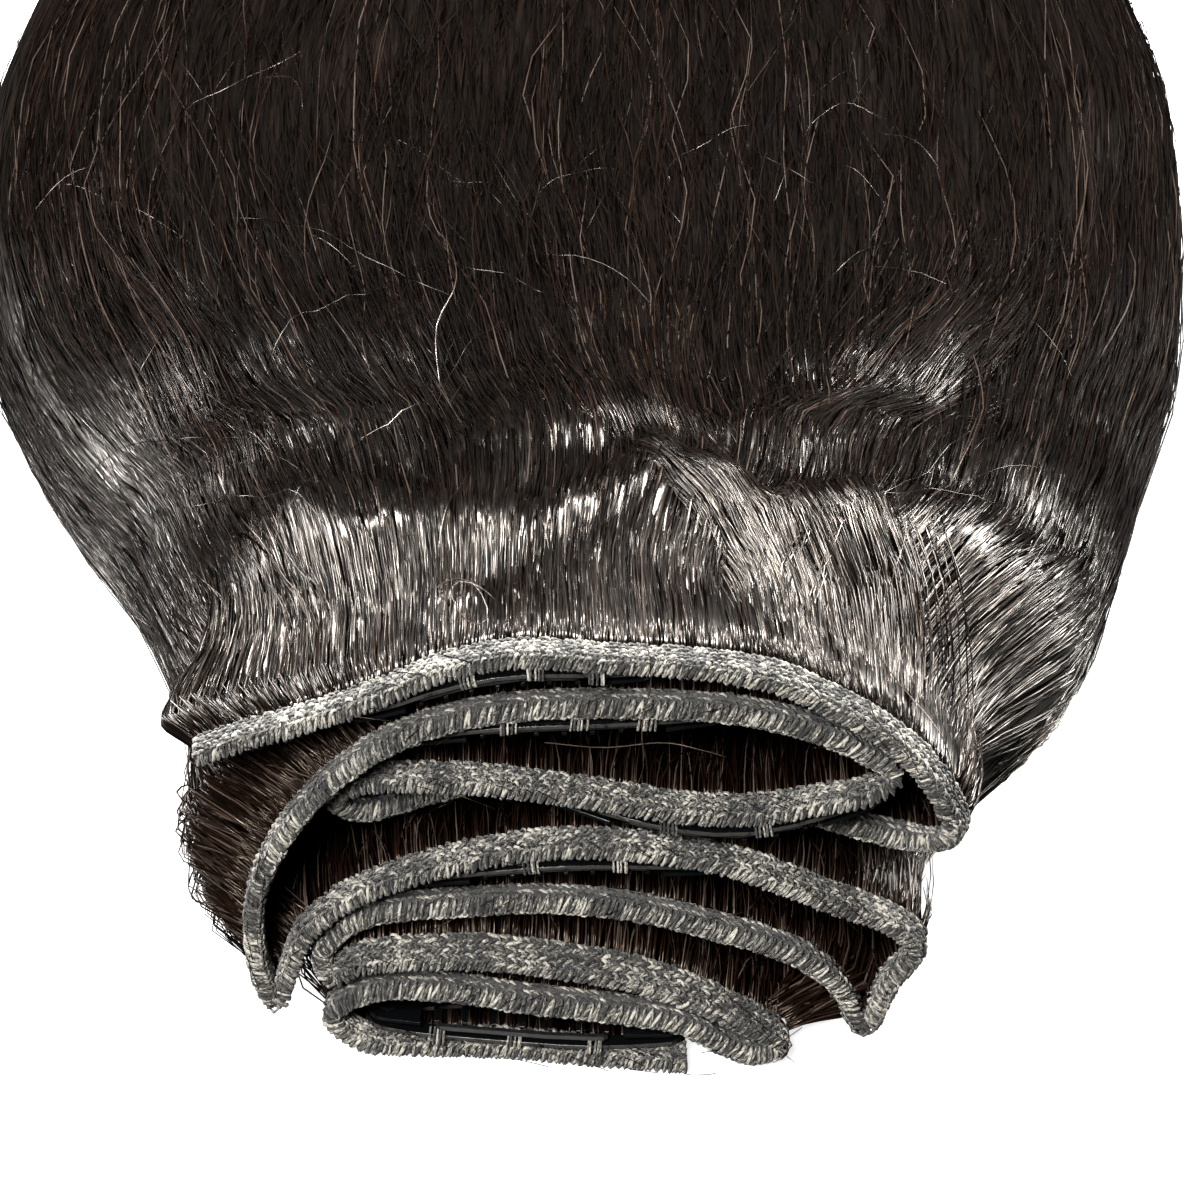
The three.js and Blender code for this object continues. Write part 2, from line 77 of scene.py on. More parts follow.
def smooth_rows(at: Array, knots: Array, values: Array) -> Array:
    """A cubic Hermite curve through (knots, values), its slopes those of the neighbouring knots.

    Args:
        at: The places to read.
        knots: Rising places of the known values.
        values: The known values.

    Returns:
        The values at the places.
    """
    slopes = np.gradient(values, knots)
    place = np.clip(at, knots[0], knots[-1])
    low = np.clip(np.searchsorted(knots, place, side="right") - 1, 0, len(knots) - 2)
    span = knots[low + 1] - knots[low]
    t = (place - knots[low]) / span
    return ((2 * t**3 - 3 * t**2 + 1) * values[low] + (t**3 - 2 * t**2 + t) * span * slopes[low]
            + (3 * t**2 - 2 * t**3) * values[low + 1] + (t**3 - t**2) * span * slopes[low + 1])


def drift(x: Array, y: Array, scale: float, seed: int, terms: int = 6) -> Array:
    """A smooth random field: the sum of a few sine waves in random directions, about -1 to 1.

    Args:
        x: First coordinate in millimetres.
        y: Second coordinate in millimetres.
        scale: The waves' mean length in millimetres.
        seed: Picks the directions and phases.
        terms: How many waves are added.

    Returns:
        The field at each place.
    """
    rng = np.random.default_rng(seed)
    angle, phase = rng.uniform(0, 2 * np.pi, (2, terms))
    rate = 2 * np.pi * rng.uniform(0.6, 1.5, terms) / scale
    x, y = np.broadcast_arrays(np.asarray(x, dtype=float), np.asarray(y, dtype=float))
    waves = np.sin((x[..., None] * np.cos(angle) + y[..., None] * np.sin(angle)) * rate + phase)
    return waves.sum(axis=-1) / np.sqrt(terms)


def unit(vectors: Array) -> Array:
    """The vectors with length 1."""
    return vectors / np.maximum(np.linalg.norm(vectors, axis=-1, keepdims=True), 1e-12)


@dataclass
class Skin:
    """A mesh in the making: points, four-cornered and many-cornered faces, UV and attributes."""

    points: Array
    faces: list[NDArray[np.int64]]
    uvs: list[Array]
    attributes: dict[str, Array] = field(default_factory=dict)

    def triangles(self) -> int:
        """How many triangles the faces come to."""
        return int(sum(len(f) * (f.shape[1] - 2) for f in self.faces))


def ring_skin(rings: Array, uv: Array) -> Skin:
    """Joins closed rings of equally many points, and closes both ends with strips.

    A strip runs between the two halves of the end ring: face k joins points k and k + 1 with the
    points that are as far from the ring's end.

    Args:
        rings: (rings, sides, 3) points, counter-clockwise seen against the ring direction.
        uv: (rings, sides + 1, 2) coordinates, the last column those of the ring's closing point.

    Returns:
        The closed skin.
    """
    count, sides = rings.shape[:2]
    index = np.arange(count * sides).reshape(count, sides)
    after = np.roll(index, -1, axis=1)
    quads = np.stack([index[:-1], after[:-1], after[1:], index[1:]], axis=-1).reshape(-1, 4)
    corners = np.stack([uv[:-1, :-1], uv[:-1, 1:], uv[1:, 1:], uv[1:, :-1]], axis=2).reshape(-1, 4, 2)
    k = np.arange(sides // 2 - 1)
    strip = np.stack([k, k + 1, sides - 2 - k, sides - 1 - k], axis=-1)
    ends = np.concatenate([index[0][strip][:, ::-1], index[-1][strip]])
    end_uv = np.concatenate([uv[0][strip][:, ::-1], uv[-1][strip]])
    return Skin(rings.reshape(-1, 3), [np.concatenate([quads, ends])], [np.concatenate([corners, end_uv])])


def tube_skin(paths: Array, radii: Array, up: Array, sides: int, shade: Array) -> Skin:
    """Closed tubes along many paths of equally many points.

    At each point the ring is radius * (cos(angle) * side + sin(angle) * rise), where side is at a
    right angle to the path and to up, and rise to the path and to side.

    Args:
        paths: (tubes, points, 3) middle lines.
        radii: (tubes, points) radii.
        up: A direction, or one for each tube, that no path runs along.
        sides: Points in a ring.
        shade: One value for each tube, kept as an attribute.

    Returns:
        The tubes as one skin, with UV in millimetres (round, along) and the attributes shade and
        flow, the direction along the tube.
    """
    tubes, count = paths.shape[:2]
    flow = unit(np.gradient(paths, axis=1))
    up = np.broadcast_to(np.asarray(up, dtype=float), (tubes, 3))[:, None, :]
    side = unit(np.cross(flow, up))
    rise = np.cross(side, flow)
    angle = 2 * np.pi * np.arange(sides) / sides
    ring = np.cos(angle)[:, None] * side[:, :, None, :] + np.sin(angle)[:, None] * rise[:, :, None, :]
    points = paths[:, :, None, :] + radii[:, :, None, None] * ring
    index = np.arange(tubes * count * sides).reshape(tubes, count, sides)
    after = np.roll(index, -1, axis=2)
    quads = np.stack([index[:, :-1], index[:, 1:], after[:, 1:], after[:, :-1]], axis=-1)
    length = np.concatenate([np.zeros((tubes, 1)),
                             np.cumsum(np.linalg.norm(np.diff(paths, axis=1), axis=-1), axis=1)], axis=1)
    girth = 2 * np.pi * radii.mean()
    around = np.arange(sides + 1) * girth / sides
    offset = np.arange(tubes) * 0.731
    u = np.broadcast_to(offset[:, None, None] + around, (tubes, count, sides + 1))
    v = np.broadcast_to(length[:, :, None] + 5.3 * offset[:, None, None], u.shape)
    uv = np.stack([u, v], axis=-1)
    quad_uv = np.stack([uv[:, :-1, :-1], uv[:, 1:, :-1], uv[:, 1:, 1:], uv[:, :-1, 1:]], axis=3)
    caps = np.concatenate([index[:, 0, :], index[:, -1, ::-1]])
    cap_uv = np.concatenate([uv[:, 0, :-1], uv[:, -1, -2::-1]])
    return Skin(points.reshape(-1, 3), [quads.reshape(-1, 4), caps],
                [quad_uv.reshape(-1, 4, 2), cap_uv],
                {"shade": np.repeat(shade, count * sides),
                 "flow": np.repeat(flow.reshape(-1, 3), sides, axis=0)})


def merged(skins: list[Skin]) -> Skin:
    """Several skins as one, for the attributes that the first one has."""
    starts = np.cumsum([0] + [len(s.points) for s in skins])
    return Skin(np.concatenate([s.points for s in skins]),
                [f + start for s, start in zip(skins, starts) for f in s.faces],
                [uv for s in skins for uv in s.uvs],
                {key: np.concatenate([s.attributes[key] for s in skins]) for key in skins[0].attributes})


class Workshop:
    """Turns skins to objects of the row frame."""

    def __init__(self, shift: Array) -> None:
        """Keeps the way from the weft's own frame to the row frame.

        Args:
            shift: What is added to each point, in millimetres.
        """
        self.shift = shift

    def make(self, name: str, skin: Skin, material: bpy.types.Material,
             stands_for: tuple[str, ...] = ()) -> bpy.types.Object:
        """Makes the mesh object, dresses it and lets it ride on the part.

        Args:
            name: The piece's name.
            skin: Its points, faces, UV and attributes.
            material: Its finish.
            stands_for: The solids that it replaces.

        Returns:
            The object.
        """
        mesh = bpy.data.meshes.new(name)
        points = (skin.points + self.shift) * MM
        mesh.vertices.add(len(points))
        mesh.vertices.foreach_set("co", points.astype(np.float32).ravel())
        corners = np.concatenate([f.ravel() for f in skin.faces])
        sizes = np.concatenate([np.full(len(f), f.shape[1]) for f in skin.faces])
        mesh.loops.add(len(corners))
        mesh.loops.foreach_set("vertex_index", corners.astype(np.int32))
        mesh.polygons.add(len(sizes))
        mesh.polygons.foreach_set("loop_start", (np.cumsum(sizes) - sizes).astype(np.int32))
        layer = mesh.uv_layers.new(name="flow_uv")
        layer.uv.foreach_set("vector", np.concatenate([u.ravel() for u in skin.uvs]).astype(np.float32))
        for key, values in skin.attributes.items():
            kind, prop = ("FLOAT_VECTOR", "vector") if values.ndim == 2 else ("FLOAT", "value")
            mesh.attributes.new(key, kind, "POINT").data.foreach_set(prop, values.astype(np.float32).ravel())
        mesh.update(calc_edges=True)
        mesh.validate()
        mesh.shade_smooth()
        mesh.materials.append(material)
        piece = bpy.data.objects.new(name, mesh)
        bpy.context.scene.collection.objects.link(piece)
        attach(piece, "root")
        if stands_for:
            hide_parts(*stands_for)
        LOG.info("%s: %d triangles", name, skin.triangles())
        return piece


@dataclass(frozen=True)
class Lay:
    """One lay of the folded weft.

    Across and level are shares of the stack's half width and height, front of the stagger. Pitch
    and front are given at the lay's start, middle and end, and turn is the outermost point of the
    fold to the next lay: across, level, front and pitch.
    """

    name: str
    pitch: tuple[float, float, float]
    front: tuple[float, float, float]
    across: tuple[float, ...]
    level: tuple[float, ...]
    turn: tuple[float, float, float, float] | None = None


LAYS = (
    Lay("top", (0, -2, 16), (0, 0, 0),
        (-0.99, -0.88, -0.7, -0.54, -0.39, -0.28, -0.16, 0.09, 0.3, 0.48, 0.61, 0.77, 0.85, 0.91),
        (0.743, 0.779, 0.833, 0.888, 0.95, 0.982, 0.998, 0.983, 0.967, 0.933, 0.876, 0.781, 0.706, 0.62),
        (0.935, 0.525, 0.1, 20)),
    Lay("inner", (0, 0, 0), (0.5, 0.95, 0.6),
        (0.83, 0.6, 0.42, 0.1, -0.3, -0.58), (0.457, 0.497, 0.52, 0.568, 0.572, 0.52),
        (-0.645, 0.574, 0.45, 0)),
    Lay("third", (0, 4, 0), (0.3, -0.1, 0.1),
        (-0.57, -0.46, -0.3, 0, 0.25, 0.42, 0.6, 0.73),
        (0.63, 0.65, 0.66, 0.638, 0.602, 0.588, 0.608, 0.628), (0.795, 0.671, 0.15, 0)),
    Lay("second", (0, -4, 0), (0.2, 0, 0),
        (0.712, 0.6, 0.42, 0.1, -0.2, -0.4, -0.55, -0.7, -0.79, -0.845, -0.855, -0.84),
        (0.727, 0.78, 0.832, 0.857, 0.85, 0.81, 0.742, 0.62, 0.5, 0.38, 0.27, 0.16),
        (-0.8, 0.085, 0, 0)),
    Lay("fourth", (0, 3, 5), (-0.05, -0.1, -0.1),
        (-0.77, -0.717, -0.59, -0.43, -0.25, -0.04, 0.2, 0.385, 0.65, 0.79),
        (0.16, 0.28, 0.378, 0.44, 0.487, 0.512, 0.497, 0.46, 0.36, 0.305), (0.85, 0.24, -0.05, 8)),
    Lay("fifth", (0, 0, 0), (0, 0, 0),
        (0.79, 0.725, 0.665, 0.56, 0.31, 0.1, -0.1, -0.37, -0.5, -0.59, -0.652),
        (0.14, 0.022, 0.12, 0.205, 0.29, 0.338, 0.355, 0.342, 0.33, 0.306, 0.26),
        (-0.68, 0.219, -0.1, -4)),
    Lay("sixth", (-4, 24, 14), (-0.2, -0.35, -0.6),
        (-0.652, -0.59, -0.43, -0.2, 0.147, 0.31, 0.43),
        (0.183, 0.218, 0.238, 0.236, 0.19, 0.142, 0.098), (0.505, 0.058, -0.62, 0)),
    Lay("seventh", (0, -3, 0), (-0.65, -0.45, -0.28),
        (0.43, 0.24, 0.1, -0.15, -0.37, -0.56), (0.038, 0.11, 0.123, 0.142, 0.166, 0.152),
        (-0.655, 0.09, -0.28, 0)),
    Lay("bottom", (0, 0, 0), (-0.28, -0.42, -0.7),
        (-0.61, -0.54, -0.21, 0, 0.262), (0.04, 0.0225, 0.0215, 0.0215, 0.0215)),
)


@dataclass(frozen=True)
class BandFrames:
    """The band's local frames: the front edge's middle and the ways along, across and through it."""

    origin: Array
    tangent: Array
    across: Array
    through: Array

    def point(self, behind: Array | float, height: Array | float, along: Array | float = 0.0) -> Array:
        """origin + along * tangent + behind * across + height * through."""
        return (self.origin + np.asarray(along)[..., None] * self.tangent
                + np.asarray(behind)[..., None] * self.across
                + np.asarray(height)[..., None] * self.through)


@dataclass
class WeftRoute:
    """The middle line of the band's front edge through all lays, as a function of its length."""

    half_width: float = 38.0
    height: float = 42.0
    stagger: float = 10.0
    width: float = 4.2
    thickness: float = 1.8
    edge_round: float = 0.4
    rear_taper: float = 0.78
    fine: int = 160

    def __post_init__(self) -> None:
        """Works out the stations, the lengths between them and the way to the row frame."""
        rows, pitches, starts = [], [], []
        for lay in LAYS:
            place = np.linspace(0, 2, len(lay.across))
            front = np.interp(place, (0, 1, 2), lay.front)
            starts.append(sum(len(r) for r in rows))
            rows.append(np.stack([lay.across, front, lay.level], axis=-1))
            pitches.append(np.interp(place, (0, 1, 2), lay.pitch))
            if lay.turn:
                rows.append(np.array([[lay.turn[0], lay.turn[2], lay.turn[1]]]))
                pitches.append(np.array([lay.turn[3]]))
        self.stations = np.concatenate(rows) * (self.half_width, self.stagger, self.height)
        self.pitches = np.radians(np.concatenate(pitches))
        self.starts = {lay.name: start for lay, start in zip(LAYS, starts)}
        self.places = np.linspace(0, len(self.stations) - 1, (len(self.stations) - 1) * self.fine + 1)
        line = self.at_place(self.places).origin
        steps = np.linalg.norm(np.diff(line, axis=0), axis=-1)
        self.lengths = np.concatenate([[0.0], np.cumsum(steps)])
        self.length = float(self.lengths[-1])
        low, high = (np.array(corner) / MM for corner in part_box("weft_band"))
        frames = self.at_place(self.places)
        half, rear = self.thickness / 2, self.thickness / 2 * self.rear_taper
        edge = [frames.point(b, h) for b, h in ((0, half - self.edge_round), (0, self.edge_round - half),
                                                (self.edge_round, half), (self.edge_round, -half),
                                                (self.width, rear), (self.width, -rear))]
        own_low, own_high = np.min(edge, axis=(0, 1)), np.max(edge, axis=(0, 1))
        self.shift = ((low + high) - (own_low + own_high)) / 2
        self.shift[2] = 0.0

    def at_place(self, place: Array) -> BandFrames:
        """Reads the centripetal Catmull-Rom curve through the stations.

        Between two stations the curve is the cubic whose end slopes are the differences to the
        neighbours, each over the square root of its length.

        Args:
            place: Places counted in stations.

        Returns:
            The band's frames there.
        """
        p = np.concatenate([[2 * self.stations[0] - self.stations[1]], self.stations,
                            [2 * self.stations[-1] - self.stations[-2]]])
        low = np.clip(np.floor(place).astype(int), 0, len(self.stations) - 2)
        t = (place - low)[:, None]
        gap = np.sqrt(np.linalg.norm(np.diff(p, axis=0), axis=-1))[:, None]
        p0, p1, p2, p3 = p[low], p[low + 1], p[low + 2], p[low + 3]
        d0, d1, d2 = gap[low], gap[low + 1], gap[low + 2]
        m1 = ((p1 - p0) / d0 - (p2 - p0) / (d0 + d1) + (p2 - p1) / d1) * d1
        m2 = ((p2 - p1) / d1 - (p3 - p1) / (d1 + d2) + (p3 - p2) / d2) * d1
        c2, c3 = 3 * (p2 - p1) - 2 * m1 - m2, 2 * (p1 - p2) + m1 + m2
        origin = p1 + m1 * t + c2 * t**2 + c3 * t**3
        origin[:, 2] = np.maximum(origin[:, 2], self.thickness / 2)
        tangent = m1 + 2 * c2 * t + 3 * c3 * t**2
        tangent[:, 1] = 0.0
        tangent = unit(tangent)
        pitch = np.interp(place, np.arange(len(self.pitches)), self.pitches)[:, None]
        outward = np.stack([-tangent[:, 2], np.zeros(len(place)), tangent[:, 0]], axis=-1)
        back = np.array([0.0, 1.0, 0.0])
        return BandFrames(origin, tangent, back * np.cos(pitch) + outward * np.sin(pitch),
                          outward * np.cos(pitch) - back * np.sin(pitch))

    def at(self, distance: Array) -> BandFrames:
        """The band's frames at distances along it."""
        return self.at_place(np.interp(distance, self.lengths, self.places))

    def span(self, name: str) -> tuple[float, float]:
        """The distances at which a lay starts and ends."""
        lay = next(entry for entry in LAYS if entry.name == name)
        start = self.starts[name]
        ends = np.interp((start, start + len(lay.across) - 1), self.places, self.lengths)
        return float(ends[0]), float(ends[1])


def linear(colour: str, alpha: float = 1.0) -> tuple[float, float, float, float]:
    """An sRGB hex colour as linear values: c / 12.92, or ((c + 0.055) / 1.055)^2.4 above 0.04045."""
    parts = [int(colour[i:i + 2], 16) / 255 for i in (1, 3, 5)]
    red, green, blue = (c / 12.92 if c <= 0.04045 else ((c + 0.055) / 1.055) ** 2.4 for c in parts)
    return red, green, blue, alpha


def add_node(material: bpy.types.Material, kind: str, settings: dict[str, Any] | None = None,
             links: dict[str | int, bpy.types.NodeSocket] | None = None) -> bpy.types.Node:
    """Adds a node with its settings and links.

    Args:
        material: The material that gets the node.
        kind: The node's type.
        settings: Properties, or input values by name or number.
        links: Output sockets by the name or number of the input that they feed.

    Returns:
        The node.
    """
    node = material.node_tree.nodes.new(kind)
    for key, value in (settings or {}).items():
        if isinstance(key, str) and hasattr(node, key):
            setattr(node, key, value)
        else:
            node.inputs[key].default_value = value
    for key, socket in (links or {}).items():
        material.node_tree.links.new(socket, node.inputs[key])
    return node


def new_material(name: str) -> bpy.types.Material:
    """An empty node material with its output node."""
    material = bpy.data.materials.new(name)
    material.use_nodes = True
    material.node_tree.nodes.clear()
    return material


def close_material(material: bpy.types.Material, shader: bpy.types.Node) -> bpy.types.Material:
    """Links the shader to the material's output."""
    add_node(material, "ShaderNodeOutputMaterial", links={"Surface": shader.outputs[0]})
    return material


def colour_stops(node: bpy.types.Node, stops: tuple[tuple[float, str], ...]) -> None:
    """Sets a Color Ramp's stops from places and hex colours."""
    ramp = node.color_ramp
    while len(ramp.elements) < len(stops):
        ramp.elements.new(0.5)
    for element, (place, colour) in zip(ramp.elements, stops):
        element.position = place
        element.color = linear(colour)


def flow_coordinates(material: bpy.types.Material, across: float, along: float,
                     lift: float = 0.0) -> bpy.types.Node:
    """The piece's flow UV, which is in millimetres, scaled to patterns per millimetre."""
    uv = add_node(material, "ShaderNodeUVMap", {"uv_map": "flow_uv"})
    return add_node(material, "ShaderNodeMapping", {"Scale": (across, along, 1.0), "Location": (0, 0, lift)},
                    {"Vector": uv.outputs[0]})


@dataclass(frozen=True)
class HairFinish:
    """Human hair, combed and slightly waved: each strand's scales give a long narrow gloss."""

    name: str
    dark: str = "#050302"
    brown: str = "#1f120c"
    light: str = "#4f433b"
    gloss_tint: str = "#f0dcc6"
    roughness: float = 0.3
    gloss: float = 0.45
    strand_width: float = 0.17  # real hair is 0.07 mm: drawn as wide as the picture can show
    streak_length: float = 22.0
    kink: float = 1.6  # how much the strands' own small bends add to the relief between them
    kink_length: float = 5.0
    bump_height: float = 0.16

    def build(self) -> bpy.types.Material:
        """Streaks along the flow, two sizes of them, colour the strands and raise them."""
        m = new_material(self.name)
        strand_uv = flow_coordinates(m, 0.5 / self.strand_width, 1 / self.streak_length)
        lock_uv = flow_coordinates(m, 0.6, 0.5 / self.streak_length, 7.0)
        kink_uv = flow_coordinates(m, 0.55 / self.strand_width, 1 / self.kink_length, 3.0)
        fine = add_node(m, "ShaderNodeTexNoise", {"Scale": 1.0, "Detail": 2.0, "Roughness": 0.6},
                        {"Vector": strand_uv.outputs[0]})
        locks = add_node(m, "ShaderNodeTexNoise", {"Scale": 1.0, "Detail": 2.0, "Roughness": 0.5},
                         {"Vector": lock_uv.outputs[0]})
        shade = add_node(m, "ShaderNodeAttribute", {"attribute_name": "shade"})
        base = add_node(m, "ShaderNodeMath", {"operation": "MULTIPLY_ADD", 1: 0.55},
                        {0: fine.outputs["Fac"], 2: shade.outputs["Fac"]})
        mix = add_node(m, "ShaderNodeMath", {"operation": "MULTIPLY_ADD", 1: 0.35},
                       {0: locks.outputs["Fac"], 2: base.outputs[0]})
        ramp = add_node(m, "ShaderNodeValToRGB", links={"Fac": mix.outputs[0]})
        colour_stops(ramp, ((0.5, self.dark), (0.8, self.brown), (0.958, self.light)))
        kinks = add_node(m, "ShaderNodeTexNoise", {"Scale": 1.0, "Detail": 1.0},
                         {"Vector": kink_uv.outputs[0]})
        height = add_node(m, "ShaderNodeMath", {"operation": "MULTIPLY_ADD", 1: self.kink},
                          {0: kinks.outputs["Fac"], 2: fine.outputs["Fac"]})
        bump = add_node(m, "ShaderNodeBump", {"Strength": 1.0, "Distance": self.bump_height * MM},
                        {"Height": height.outputs[0]})
        flow = add_node(m, "ShaderNodeAttribute", {"attribute_name": "flow"})
        gloss = add_node(m, "ShaderNodeMapRange",
                         {"From Min": 0.4, "From Max": 0.62, "To Min": 0.0, "To Max": 2.2 * self.gloss},
                         {"Value": fine.outputs["Fac"]})
        shader = add_node(m, "ShaderNodeBsdfPrincipled",
                          {"Roughness": self.roughness, "IOR": 1.55, "Anisotropic": 0.9,
                           "Anisotropic Rotation": 0.25, "Specular Tint": linear(self.gloss_tint)},
                          {"Base Color": ramp.outputs[0], "Normal": bump.outputs[0],
                           "Tangent": flow.outputs["Vector"], "Specular IOR Level": gloss.outputs[0]})
        return close_material(m, shader)


@dataclass(frozen=True)
class YarnFinish:
    """Marled sewing yarn of a machine weft: grey and cream fibres over dark ones, matt and fuzzy."""

    name: str
    dark: str = "#161410"
    grey: str = "#5f5b53"
    cream: str = "#bdb7aa"
    fibre: float = 0.15
    bump_height: float = 0.12
    lightness: float = 0.0

    def build(self) -> bpy.types.Material:
        """Fibre noise along the yarn, shifted by each stitch's own shade, colours and raises it."""
        m = new_material(self.name)
        fibres = add_node(m, "ShaderNodeTexNoise", {"Scale": 1.0, "Detail": 3.0, "Roughness": 0.65},
                          {"Vector": flow_coordinates(m, 0.9 / self.fibre, 0.35 / self.fibre).outputs[0]})
        shade = add_node(m, "ShaderNodeAttribute", {"attribute_name": "shade"})
        mix = add_node(m, "ShaderNodeMath", {"operation": "MULTIPLY_ADD", 1: 1.5},
                       {0: fibres.outputs["Fac"], 2: shade.outputs["Fac"]})
        ramp = add_node(m, "ShaderNodeValToRGB", links={"Fac": mix.outputs[0]})
        low = 0.6 - self.lightness
        colour_stops(ramp, ((low, self.dark), (low + 0.2, self.grey), (low + 0.38, self.cream)))
        bump = add_node(m, "ShaderNodeBump", {"Strength": 1.0, "Distance": self.bump_height * MM},
                        {"Height": fibres.outputs["Fac"]})
        shader = add_node(m, "ShaderNodeBsdfPrincipled",
                          {"Roughness": 0.75, "IOR": 1.5, "Sheen Weight": 0.25, "Sheen Roughness": 0.5},
                          {"Base Color": ramp.outputs[0], "Normal": bump.outputs[0]})
        return close_material(m, shader)


@dataclass(frozen=True)
class LacqueredSteel:
    """Stamped spring steel dipped in black lacquer, rubbed through to bare steel along its edges; bare steel
    is also painted on the sides that face the front, as a painted highlight.
    """

    name: str = "black_lacquered_spring_steel"
    lacquer: str = "#08090a"
    bare: str = "#6f6c68"
    # strength of the painted highlight of bare steel on front-turned sides
    front_highlight: float = 0.85

    def build(self) -> bpy.types.Material:
        """The lacquer thins where the surface turns over an edge and bare steel shows through, partly real
        rubbing and partly a painted highlight; sides turned to the front also get bare steel as a painted
        highlight.
        """
        m = new_material(self.name)
        place = add_node(m, "ShaderNodeTexCoord")
        grain = add_node(m, "ShaderNodeTexNoise", {"Scale": 900.0, "Detail": 3.0, "Roughness": 0.6},
                         {"Vector": place.outputs["Object"]})
        geometry = add_node(m, "ShaderNodeNewGeometry")
        rounded = add_node(m, "ShaderNodeBevel", {"samples": 4, "Radius": 0.12 * MM})
        turn = add_node(m, "ShaderNodeVectorMath", {"operation": "DOT_PRODUCT"},
                        {0: geometry.outputs["True Normal"], 1: rounded.outputs[0]})
        parts = add_node(m, "ShaderNodeSeparateXYZ", links={0: geometry.outputs["Normal"]})
        # painted highlight: the more a face turns to the front (-Y), the more bare steel it gets
        facing = add_node(m, "ShaderNodeMath", {"operation": "MULTIPLY_ADD", 1: -1.4 * self.front_highlight, 2: -0.75},
                          {0: parts.outputs["Y"]})
        # edge mask: bare steel where the surface turns over an edge, partly real rubbing and partly a painted
        # highlight
        rubbed_and_highlit = add_node(m, "ShaderNodeMath", {"operation": "SUBTRACT", 0: 1.02}, {1: turn.outputs["Value"]})
        either = add_node(m, "ShaderNodeMath", {"operation": "MAXIMUM"},
                        {0: facing.outputs[0], 1: rubbed_and_highlit.outputs[0]})
        patchy = add_node(m, "ShaderNodeMath", {"operation": "MULTIPLY_ADD", 1: 0.8, 2: -0.35},
                          {0: grain.outputs["Fac"]})
        mask = add_node(m, "ShaderNodeMath", {"operation": "ADD", "use_clamp": True},
                        {0: either.outputs[0], 1: patchy.outputs[0]})
        ramp = add_node(m, "ShaderNodeValToRGB", links={"Fac": mask.outputs[0]})
        colour_stops(ramp, ((0.3, self.lacquer), (0.7, self.bare)))
        metal = add_node(m, "ShaderNodeMapRange", {"From Min": 0.3, "From Max": 0.7, "To Max": 1.0},
                         {"Value": mask.outputs[0]})
        bump = add_node(m, "ShaderNodeBump", {"Strength": 0.15, "Distance": 0.05 * MM},
                        {"Height": grain.outputs["Fac"], "Normal": rounded.outputs[0]})
        shader = add_node(m, "ShaderNodeBsdfPrincipled", {"Roughness": 0.26, "Coat Weight": 0.4,
                                                          "Coat Roughness": 0.12},
                          {"Base Color": ramp.outputs[0], "Metallic": metal.outputs[0],
                           "Normal": bump.outputs[0]})
        return close_material(m, shader)


@dataclass(frozen=True)
class SiliconeFinish:
    """Moulded black silicone: satin, with the fine dust that it always holds."""

    name: str = "moulded_black_silicone"
    clean: str = "#0d0d0d"
    dusty: str = "#2b2a28"

    def build(self) -> bpy.types.Material:
        """Dust noise lightens and roughens the satin rubber."""
        m = new_material(self.name)
        place = add_node(m, "ShaderNodeTexCoord")
        dust = add_node(m, "ShaderNodeTexNoise", {"Scale": 1400.0, "Detail": 4.0, "Roughness": 0.7},
                        {"Vector": place.outputs["Object"]})
        ramp = add_node(m, "ShaderNodeValToRGB", links={"Fac": dust.outputs["Fac"]})
        colour_stops(ramp, ((0.45, self.clean), (0.8, self.dusty)))
        bump = add_node(m, "ShaderNodeBump", {"Strength": 0.2, "Distance": 0.03 * MM},
                        {"Height": dust.outputs["Fac"]})
        shader = add_node(m, "ShaderNodeBsdfPrincipled", {"Roughness": 0.55, "IOR": 1.43},
                          {"Base Color": ramp.outputs[0], "Normal": bump.outputs[0]})
        return close_material(m, shader)


@dataclass(frozen=True)
class FloorFinish:
    """A matt white studio sweep, lit through from below as a light table is."""

    name: str = "matt_white_paper_sweep"
    paper: str = "#f6f6f6"
    glow: float = 0.8

    def build(self) -> bpy.types.Material:
        """Plain paper white with a breath of tooth."""
        m = new_material(self.name)
        shader = add_node(m, "ShaderNodeBsdfPrincipled",
                          {"Base Color": linear(self.paper), "Roughness": 0.9,
                           "Emission Color": (1, 1, 1, 1), "Emission Strength": self.glow})
        return close_material(m, shader)


